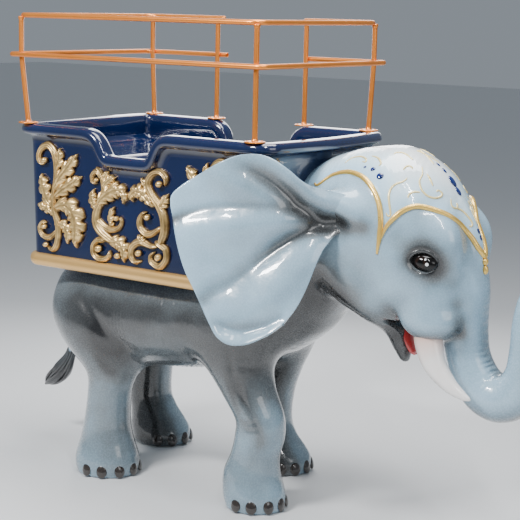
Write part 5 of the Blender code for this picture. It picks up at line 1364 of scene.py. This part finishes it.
# Towards the top the near-black hair blends into the tail's grey, kept dark as painted shade.
hair_into_shaded_stem = mixed(tree, mapped(tree, height, start=0.330, end=0.410), hair, (0.060, 0.068, 0.073, 1))
feed(tree, surface, {"Base Color": hair_into_shaded_stem, "Roughness": 0.35, "Coat Weight": 0.7, "Coat Roughness": 0.1})
TUFT = [(-0.731, 0.462, 0.016), (-0.752, 0.400, 0.021), (-0.800, 0.330, 0.036), (-0.862, 0.276, 0.030),
        (-0.908, 0.244, 0.007)]
spine = through(TUFT, 40)
middle_line = np.stack([spine[:, 0], 0 * spine[:, 0], spine[:, 1]], 1)
parts = [tube_along(middle_line, spine[:, 2] * 0.80, 20, (1, 0, 0.3))]
GOLDEN_TURN = 2.39996
for lock in range(34):
    end = 0.55 + 0.45 * ((lock * 7) % 11) / 10
    along = np.linspace(0.03 + 0.12 * ((lock * 5) % 7) / 6, end, 22)
    x, z, size = (np.interp(along, np.linspace(0, 1, 40), column) for column in spine.T)
    core = np.stack([x, 0 * along, z], 1)
    _, first, second = square_to(core, np.array([1.0, 0.0, 0.3]))
    spread = size * (0.80 + 0.25 * np.sin(3.0 * along + lock))
    drift = GOLDEN_TURN * lock + 0.6 * along
    route = core + first * (spread * np.cos(drift))[:, None] + second * (spread * np.sin(drift))[:, None]
    thick = 0.0085 * np.sin(np.linspace(0.25, math.pi - 0.02, 22)) ** 0.8 + 0.0004
    parts.append(tube_along(route, thick, 8, (0.0, 0.2, 1.0)))
tuft = lay_mesh("tail_tuft_locks", gather(parts), hair_finish)
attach(tuft, "root")
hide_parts("tail_tuft")


# Cap trim
# A half-round gold bead edges the painted cap, with two gold drops on the forehead. Fine pale
# gold scrolls are piped on the cap, and blue glass-like studs are glued along it.

bead_gold = gold_finish("bead_gold", (0.98, 0.64, 0.15, 1), (0.62, 0.33, 0.06, 1), 40.0, 0.62)
parts = []
share = np.linspace(0, 1, 70)
edge_size = 0.0108 * (0.35 + 0.65 * step_curve(share, 0.0, 0.35)) * (1 - 0.55 * step_curve(share, 0.86, 1.0))
brow_size = 0.0108 * (0.5 + 0.5 * step_curve(share, 0.0, 0.2))
for side in (1, -1):
    for route, size in ((CAP_EDGE[1:], edge_size), (CAP_BROW, brow_size)):
        drawn = through(route, 70)
        line, normals = onto_skin(drawn if side > 0 else far_edge(drawn), 0.0012)
        parts.append(close_ends(raised_rings(line, normals, unit(np.gradient(line, axis=0)), size, size, 16)))
bead = lay_mesh("cap_bead", gather(parts), bead_gold)
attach(bead, "root")
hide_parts("head_cloth_bead")


def stud(place, normal, long, half, height, ahead=(1.0, 0.0, 0.0)):
    """A domed stud: a half ellipsoid of given half sizes, seated square on the skin."""
    first = unit(np.asarray(ahead) - np.dot(ahead, normal) * normal)
    second = np.cross(normal, first)
    rise = np.concatenate([[-0.35], np.linspace(0, math.pi / 2, 8)])[:, None]
    turn = np.linspace(0, 2 * math.pi, 24, endpoint=False)[None, :]
    ring = np.cos(np.clip(rise, -0.35, 1.545))
    rings = (place + first * (long * ring * np.cos(turn))[..., None] + second * (half * ring * np.sin(turn))[..., None]
             + normal * (height * np.sin(rise) * np.ones_like(turn))[..., None])
    return close_ends(rings)


drops = []
for z, half, tall in ((1.114, 0.0130, 0.0150), (1.084, 0.0110, 0.0185)):
    place, normal = onto_skin([(1.46, 0.0, z)], 0.004)
    drops.append(stud(place[0], normal[0], tall, half, 0.0125, (0.0, 0.0, 1.0)))
drop = lay_mesh("forehead_drops", gather(drops), bead_gold)
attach(drop, "root")
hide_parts("forehead_drop")

blue_glass, tree, surface = new_finish("stud_blue")
depth = add_node(tree, "LayerWeight", {"Blend": 0.4}).outputs["Facing"]
feed(tree, surface, {"Base Color": mixed(tree, depth, (0.002, 0.008, 0.070, 1), (0.010, 0.045, 0.26, 1)),
                     "Roughness": 0.08, "Coat Weight": 1.0})
SIDE_STUDS = [(365, 167, 0.0068), (373, 169, 0.0105), (380, 176, 0.0145)]
MIDDLE_STUDS = [(430, 167, 0.0095), (436, 173, 0.0110), (446, 183, 0.0210), (455, 192, 0.0165), (478, 231, 0.0100),
                (480, 238, 0.0090)]
parts = []
for u, v, half in SIDE_STUDS:
    for side in (1, -1):
        place, normal = onto_skin([skin_at_pixel(u, v) * [1, side, 1]])
        parts.append(stud(place[0], normal[0], half, half, 0.35 * half))
for u, v, half in MIDDLE_STUDS:
    found = skin_at_pixel(u, v)
    if found is not None:
        place, normal = onto_skin([found * [1, 0, 1]])
        parts.append(stud(place[0], normal[0], half * 1.25, half * 0.8, 0.30 * half))
studs = lay_mesh("cap_studs", gather(parts), blue_glass)
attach(studs, "root")

piping = gold_finish("piped_gold", (0.88, 0.74, 0.36, 1), (0.62, 0.46, 0.16, 1), 50.0, 0.20)
SCROLLS = [
    [(386, 213), (388, 216), (390.5, 214), (389.5, 205), (388.8, 196), (391, 188.5), (396, 184), (402, 182),
     (406, 179.5), (407, 178)],
    [(403.5, 170), (405, 167.5), (408, 166), (411.5, 167), (412.5, 169)],
    [(422, 167), (422.5, 174), (419.5, 181), (421.5, 189.5), (427, 195.5), (434, 198), (440, 197), (442.2, 194),
     (440, 191.2), (437.5, 190.5), (436.8, 192)],
    [(408, 198), (408.8, 195), (411.5, 192.7), (415.5, 191.8), (420, 192.3)],
    [(394, 154.2), (396, 152.8), (401, 152.6), (405, 153.8), (409, 156.5), (413, 160)],
    [(417.5, 151.5), (419.5, 150.6), (424, 153.4), (430, 159.5), (433.5, 164)],
    [(451, 199), (451.2, 204), (453.5, 207.6), (459, 209), (464, 212.3), (469.5, 218.6), (472.5, 224),
     (471, 226.6), (469, 225.4)],
    [(456.5, 203), (457.5, 206), (456.5, 209)],
    [(427, 174), (430, 179), (433, 186)],
    [(345, 163), (352, 158), (361, 156.5), (366, 159), (365.5, 162), (362.5, 161.5)],
    [(372, 156), (378, 158), (381, 163), (379, 166)],
]
parts = []
for route in SCROLLS:
    found = [skin_at_pixel(u, v) for u, v in route]
    found = [place for place in found if place is not None]
    if len(found) < 3:
        continue
    count = 10 * len(found)
    size = 0.0046 * np.sin(np.linspace(0.30, math.pi - 0.30, count)) ** 0.6
    for side in (1, -1):
        line, normals = onto_skin(through(np.array(found) * [1, side, 1], count), 0.0002)
        parts.append(close_ends(raised_rings(line, normals, unit(np.gradient(line, axis=0)), 0.7 * size, size, 10)))
scrolls = lay_mesh("cap_scrolls", gather(parts), piping)
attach(scrolls, "root")


# Gold reliefs
# Acanthus scrolls cast in resin, painted antique gold and stuck on the tub's walls. Each is
# built of strokes: fluted stems, leaves with lobes and veins, and balls where a scroll ends.

relief_gold = gold_finish("relief_gold", (0.96, 0.66, 0.27, 1), (0.090, 0.042, 0.012, 1), 30.0, 0.78, mark="hollow")
SCROLL_AND_LEAF = [
    (0, 23, [(190, 1285, 20), (245, 1322, 24), (292, 1285, 28), (318, 1180, 30), (312, 1060, 32), (284, 960, 32),
             (266, 870, 30),
             (270, 760, 28), (288, 660, 28), (300, 560, 30), (294, 430, 34), (262, 325, 36), (200, 268, 34),
             (132, 292, 30),
             (100, 370, 26), (122, 438, 22), (165, 446, 16)]),
    (0, 30, [(170, 415, 33)]), (0, 27, [(182, 1268, 28)]), (0, 27, [(165, 1085, 27)]),
    (3, 20, [(285, 540, 26), (322, 450, 42), (338, 370, 36), (330, 300, 5)]),
    (4, 25, [(280, 720, 28), (338, 610, 52), (420, 515, 62), (482, 440, 46), (526, 372, 6)]),
    (4, 24, [(276, 800, 28), (360, 728, 54), (452, 676, 60), (520, 636, 42), (578, 596, 6)]),
    (4, 24, [(262, 880, 28), (205, 810, 56), (166, 705, 64), (146, 620, 46), (128, 545, 6)]),
    (3, 20, [(270, 960, 24), (196, 905, 44), (132, 872, 36), (88, 850, 6)]),
    (0, 20, [(308, 1120, 20), (262, 1172, 26), (200, 1198, 28), (138, 1170, 26), (108, 1100, 24), (134, 1042, 20),
             (182, 1046, 14)]),
    (6, 30, [(278, 915, 34), (366, 870, 56), (448, 896, 78), (508, 980, 88), (528, 1090, 82), (526, 1190, 60),
             (522, 1312, 6)]),
    (4, 20, [(308, 1060, 24), (384, 1080, 46), (424, 1160, 50), (420, 1270, 6)])]
UPRIGHT_SCROLL = [
    (0, 24, [(735, 830, 24), (690, 890, 36), (668, 975, 44), (684, 1068, 46), (742, 1145, 42), (824, 1208, 36),
             (900, 1244, 14)]),
    (0, 18, [(690, 985, 20), (730, 1052, 30), (790, 1098, 32), (862, 1112, 28), (924, 1092, 24), (952, 1035, 18),
             (932, 985, 12)]),
    (0, 28, [(905, 1000, 28)]), (0, 26, [(682, 604, 24)]), (0, 29, [(706, 1300, 38)]), (0, 27, [(915, 1375, 34)]),
    (3, 22, [(852, 1080, 18), (838, 1000, 34), (848, 930, 28), (872, 880, 5)]),
    (6, 29, [(708, 870, 30), (740, 805, 52), (804, 752, 66), (884, 716, 66), (950, 726, 54), (992, 784, 34),
             (966, 860, 6)]),
    (0, 22, [(728, 850, 24), (756, 750, 28), (757, 660, 28), (738, 580, 26), (708, 515, 20), (668, 472, 8)]),
    (4, 23, [(752, 690, 24), (800, 628, 46), (848, 602, 36), (886, 590, 5)]),
    (3, 20, [(746, 610, 18), (784, 560, 34), (812, 524, 5)]),
    (0, 21, [(730, 600, 18), (702, 540, 26), (662, 524, 26), (630, 562, 24), (638, 622, 20), (680, 636, 12)]),
    (4, 22, [(700, 890, 26), (652, 845, 46), (634, 776, 44), (650, 690, 5)]),
    (0, 24, [(785, 1195, 18), (742, 1214, 26), (690, 1216, 28), (648, 1265, 28), (650, 1346, 28), (700, 1400, 28),
             (770, 1406, 26),
             (822, 1370, 22), (826, 1318, 14)]),
    (5, 27, [(826, 1240, 28), (900, 1236, 56), (960, 1272, 60), (990, 1345, 48), (984, 1446, 5)])]
TALL_SCROLL = [
    (0, 26, [(1330, 1312, 24), (1362, 1225, 34), (1386, 1135, 40), (1374, 1010, 42), (1326, 900, 40),
             (1256, 800, 36), (1214, 710, 32),
             (1218, 635, 30), (1272, 578, 30), (1346, 580, 28), (1400, 642, 24), (1382, 712, 16)]),
    (0, 30, [(1334, 690, 34)]), (0, 28, [(1208, 1008, 32)]), (0, 28, [(1118, 1358, 34)]), (0, 29, [(1330, 1400, 36)]),
    (6, 28, [(1276, 905, 28), (1216, 830, 52), (1150, 770, 64), (1092, 748, 56), (1044, 786, 40), (1052, 856, 5)]),
    (3, 22, [(1220, 740, 24), (1182, 684, 42), (1138, 618, 5)]),
    (3, 22, [(1346, 965, 24), (1366, 890, 44), (1392, 840, 38), (1424, 788, 5)]),
    (0, 24, [(1366, 1104, 18), (1316, 1134, 22), (1262, 1166, 28), (1200, 1172, 32), (1140, 1116, 32),
             (1124, 1040, 28), (1150, 978, 20), (1198, 956, 12)]),
    (0, 23, [(1318, 1296, 18), (1244, 1290, 24), (1182, 1262, 32), (1120, 1246, 34), (1050, 1286, 32),
             (1030, 1366, 28), (1070, 1440, 22), (1146, 1436, 12)]),
    (4, 23, [(1180, 1270, 24), (1146, 1222, 40), (1104, 1172, 5)]),
    (0, 24, [(1286, 1240, 18), (1350, 1288, 30), (1404, 1332, 30), (1406, 1426, 30), (1340, 1492, 30),
             (1262, 1452, 26), (1246, 1386, 18),
             (1288, 1348, 12)])]
SMALL_LEAF = [
    (5, 28, [(60, 20, 30), (66, 120, 62), (60, 240, 66), (70, 360, 5)]),
    (3, 22, [(60, 60, 22), (120, 110, 44), (170, 190, 5)]), (3, 22, [(60, 60, 22), (0, 110, 44), (-45, 190, 5)]),
    (0, 27, [(60, 20, 34)])]


def carved(strokes, to_panel, to_wall, way):
    """Strokes as closed surfaces on a wall. to_panel turns drawn units into metres along and
    up the panel; to_wall adds the wall's place; way is -1 where that turns faces inwards. A
    section across a stroke, u from -1 to 1, rises as (1 - u^2)^0.55. A stem is grooved by
    cosines; a leaf has n lobes: grooves run where the phase n s - 0.6 |u| is whole, and the
    width drops at the same phase."""
    parts, hollows = [], []
    u = np.sin(np.linspace(-math.pi / 2, math.pi / 2, 27))[None, :]
    dome = np.clip(1 - u ** 2, 0, 1) ** 0.55
    for lobes, peak, route in strokes:
        route, peak = np.array(route, float), peak * 0.001
        if len(route) == 1:
            x, y, radius = route[0]
            turn = np.linspace(0, 2 * math.pi, 28, endpoint=False)[None, :]
            rise = np.concatenate([[-0.5], np.linspace(0, math.pi / 2, 12)])[:, None]
            ring = radius * np.cos(np.clip(rise, -0.5, 1.55))
            a, h = to_panel(x + ring * np.cos(turn), y + ring * np.sin(turn))
            rings = to_wall(a, h, np.maximum(0.0005, peak * (0.35 + 0.65 * np.sin(rise)) + 0 * turn))
            points, quads, tris = close_ends(rings)
            hollow = np.append((0.85 * np.clip(1 - 1.9 * np.sin(rise), 0, 1) + 0 * turn).ravel(), [0.8, 0.0])
        else:
            count = 26 * len(route) // 2
            line = through(route, count)
            s = np.linspace(0, 1, count)[:, None]
            centre = np.stack(to_panel(line[:, 0], line[:, 1]), 1)
            ahead = unit(np.gradient(centre, axis=0))
            across = np.stack([-ahead[:, 1], ahead[:, 0]], 1)
            half = np.maximum(line[:, 2], 3.0)[:, None] * 0.00053
            ends = np.clip(12 * s, 0, 1) ** 0.5 * np.clip(12 * (1 - s), 0, 1) ** 0.5
            if lobes:
                phase = lobes * s - 0.6 * np.abs(u)
                edge = (lobes * s - 0.6) % 1.0
                notch = np.exp(-(np.minimum(edge, 1 - edge) / 0.14) ** 2)
                half = half * (1.12 - 0.42 * notch * np.clip(6 * s, 0, 1))
                cut = phase % 1.0
                groove = np.exp(-(np.minimum(cut, 1 - cut) / 0.11) ** 2) * np.clip(2.2 * np.abs(u) - 0.3, 0, 1)
                vein = np.exp(-(u / 0.13) ** 2)
                height = dome * (1 - 0.42 * groove - 0.22 * vein)
                height = height + 0.10 * np.clip(np.abs(u) - 0.2, 0, 1) * (1 - np.abs(u))
                hollow = 0.55 * groove + 0.35 * vein
            else:
                groove = 0.5 - 0.5 * np.cos(2 * math.pi * np.abs(u) ** 0.9 * 1.5)
                height = dome * (0.80 + 0.20 * groove)
                hollow = 0.45 * (1 - groove) * np.ones_like(s)
            lift = 0.0012 + peak * height * (0.55 + 0.45 * np.clip(half / 0.013, 0, 1.0)) * (0.25 + 0.75 * ends)
            depth = np.concatenate([lift, np.full((count, 5), 0.0005)], 1)
            reach = np.concatenate([u, np.linspace(1, -1, 5)[None, :]], 1)
            flat = centre[:, None, :] + across[:, None, :] * (half * reach * (0.2 + 0.8 * ends))[..., None]
            points, quads, tris = close_ends(to_wall(flat[..., 0], flat[..., 1], depth))
            hollow = hollow + 0.75 * np.clip(np.abs(u) * 4 - 3, 0, 1)
            hollow = np.append(np.concatenate([hollow, np.ones((count, 5))], 1).ravel(), [1, 1])
        parts.append((points, quads[:, ::way], tris[:, ::way]))
        hollows.append(hollow)
    return gather(parts), {"hollow": np.concatenate(hollows)}


def tilted(left, bottom, wide, tall):
    """Drawn units to metres on a panel whose lower edge slopes down to the right by 0.146."""
    return lambda x, y: ((x - left) * wide, (bottom + 0.146 * (x - left) - y) * tall)


FIRST = tilted(95, 1335, 0.000519, 0.0004287)
SECOND = tilted(610, 1387, 0.000506, 0.0004188)
THIRD = tilted(1020, 1457, 0.000500, 0.0004234)
PLAIN = lambda x, y: (x * 0.00050, y * 0.00052)
RELIEFS = [("relief_right_1", SCROLL_AND_LEAF, FIRST, -0.551, 1, 0.978, -1),
           ("relief_right_2", UPRIGHT_SCROLL, SECOND, -0.250, 1, 0.986, -1),
           ("relief_right_3", TALL_SCROLL, THIRD, -0.030, 1, 0.986, -1),
           ("relief_right_4", SCROLL_AND_LEAF, FIRST, 0.490, -1, 0.978, -1),
           ("relief_left_1", SCROLL_AND_LEAF, FIRST, -0.551, 1, 0.978, 1),
           ("relief_left_2", SMALL_LEAF, PLAIN, -0.250, 1, 1.078, 1),
           ("relief_left_3", SCROLL_AND_LEAF, FIRST, 0.520, -1, 0.978, 1)]
for name, strokes, to_panel, start_x, way, low_z, side in RELIEFS:
    to_wall = lambda a, h, d: np.stack([start_x + way * a, side * (TUB_HALF_WIDTH + d) + 0 * a, low_z + h], -1)
    shape, marks = carved(strokes, to_panel, to_wall, side * way)
    relief = lay_mesh(name + "_cast", shape, relief_gold, marks=marks)
    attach(relief, "root")
    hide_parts(name)
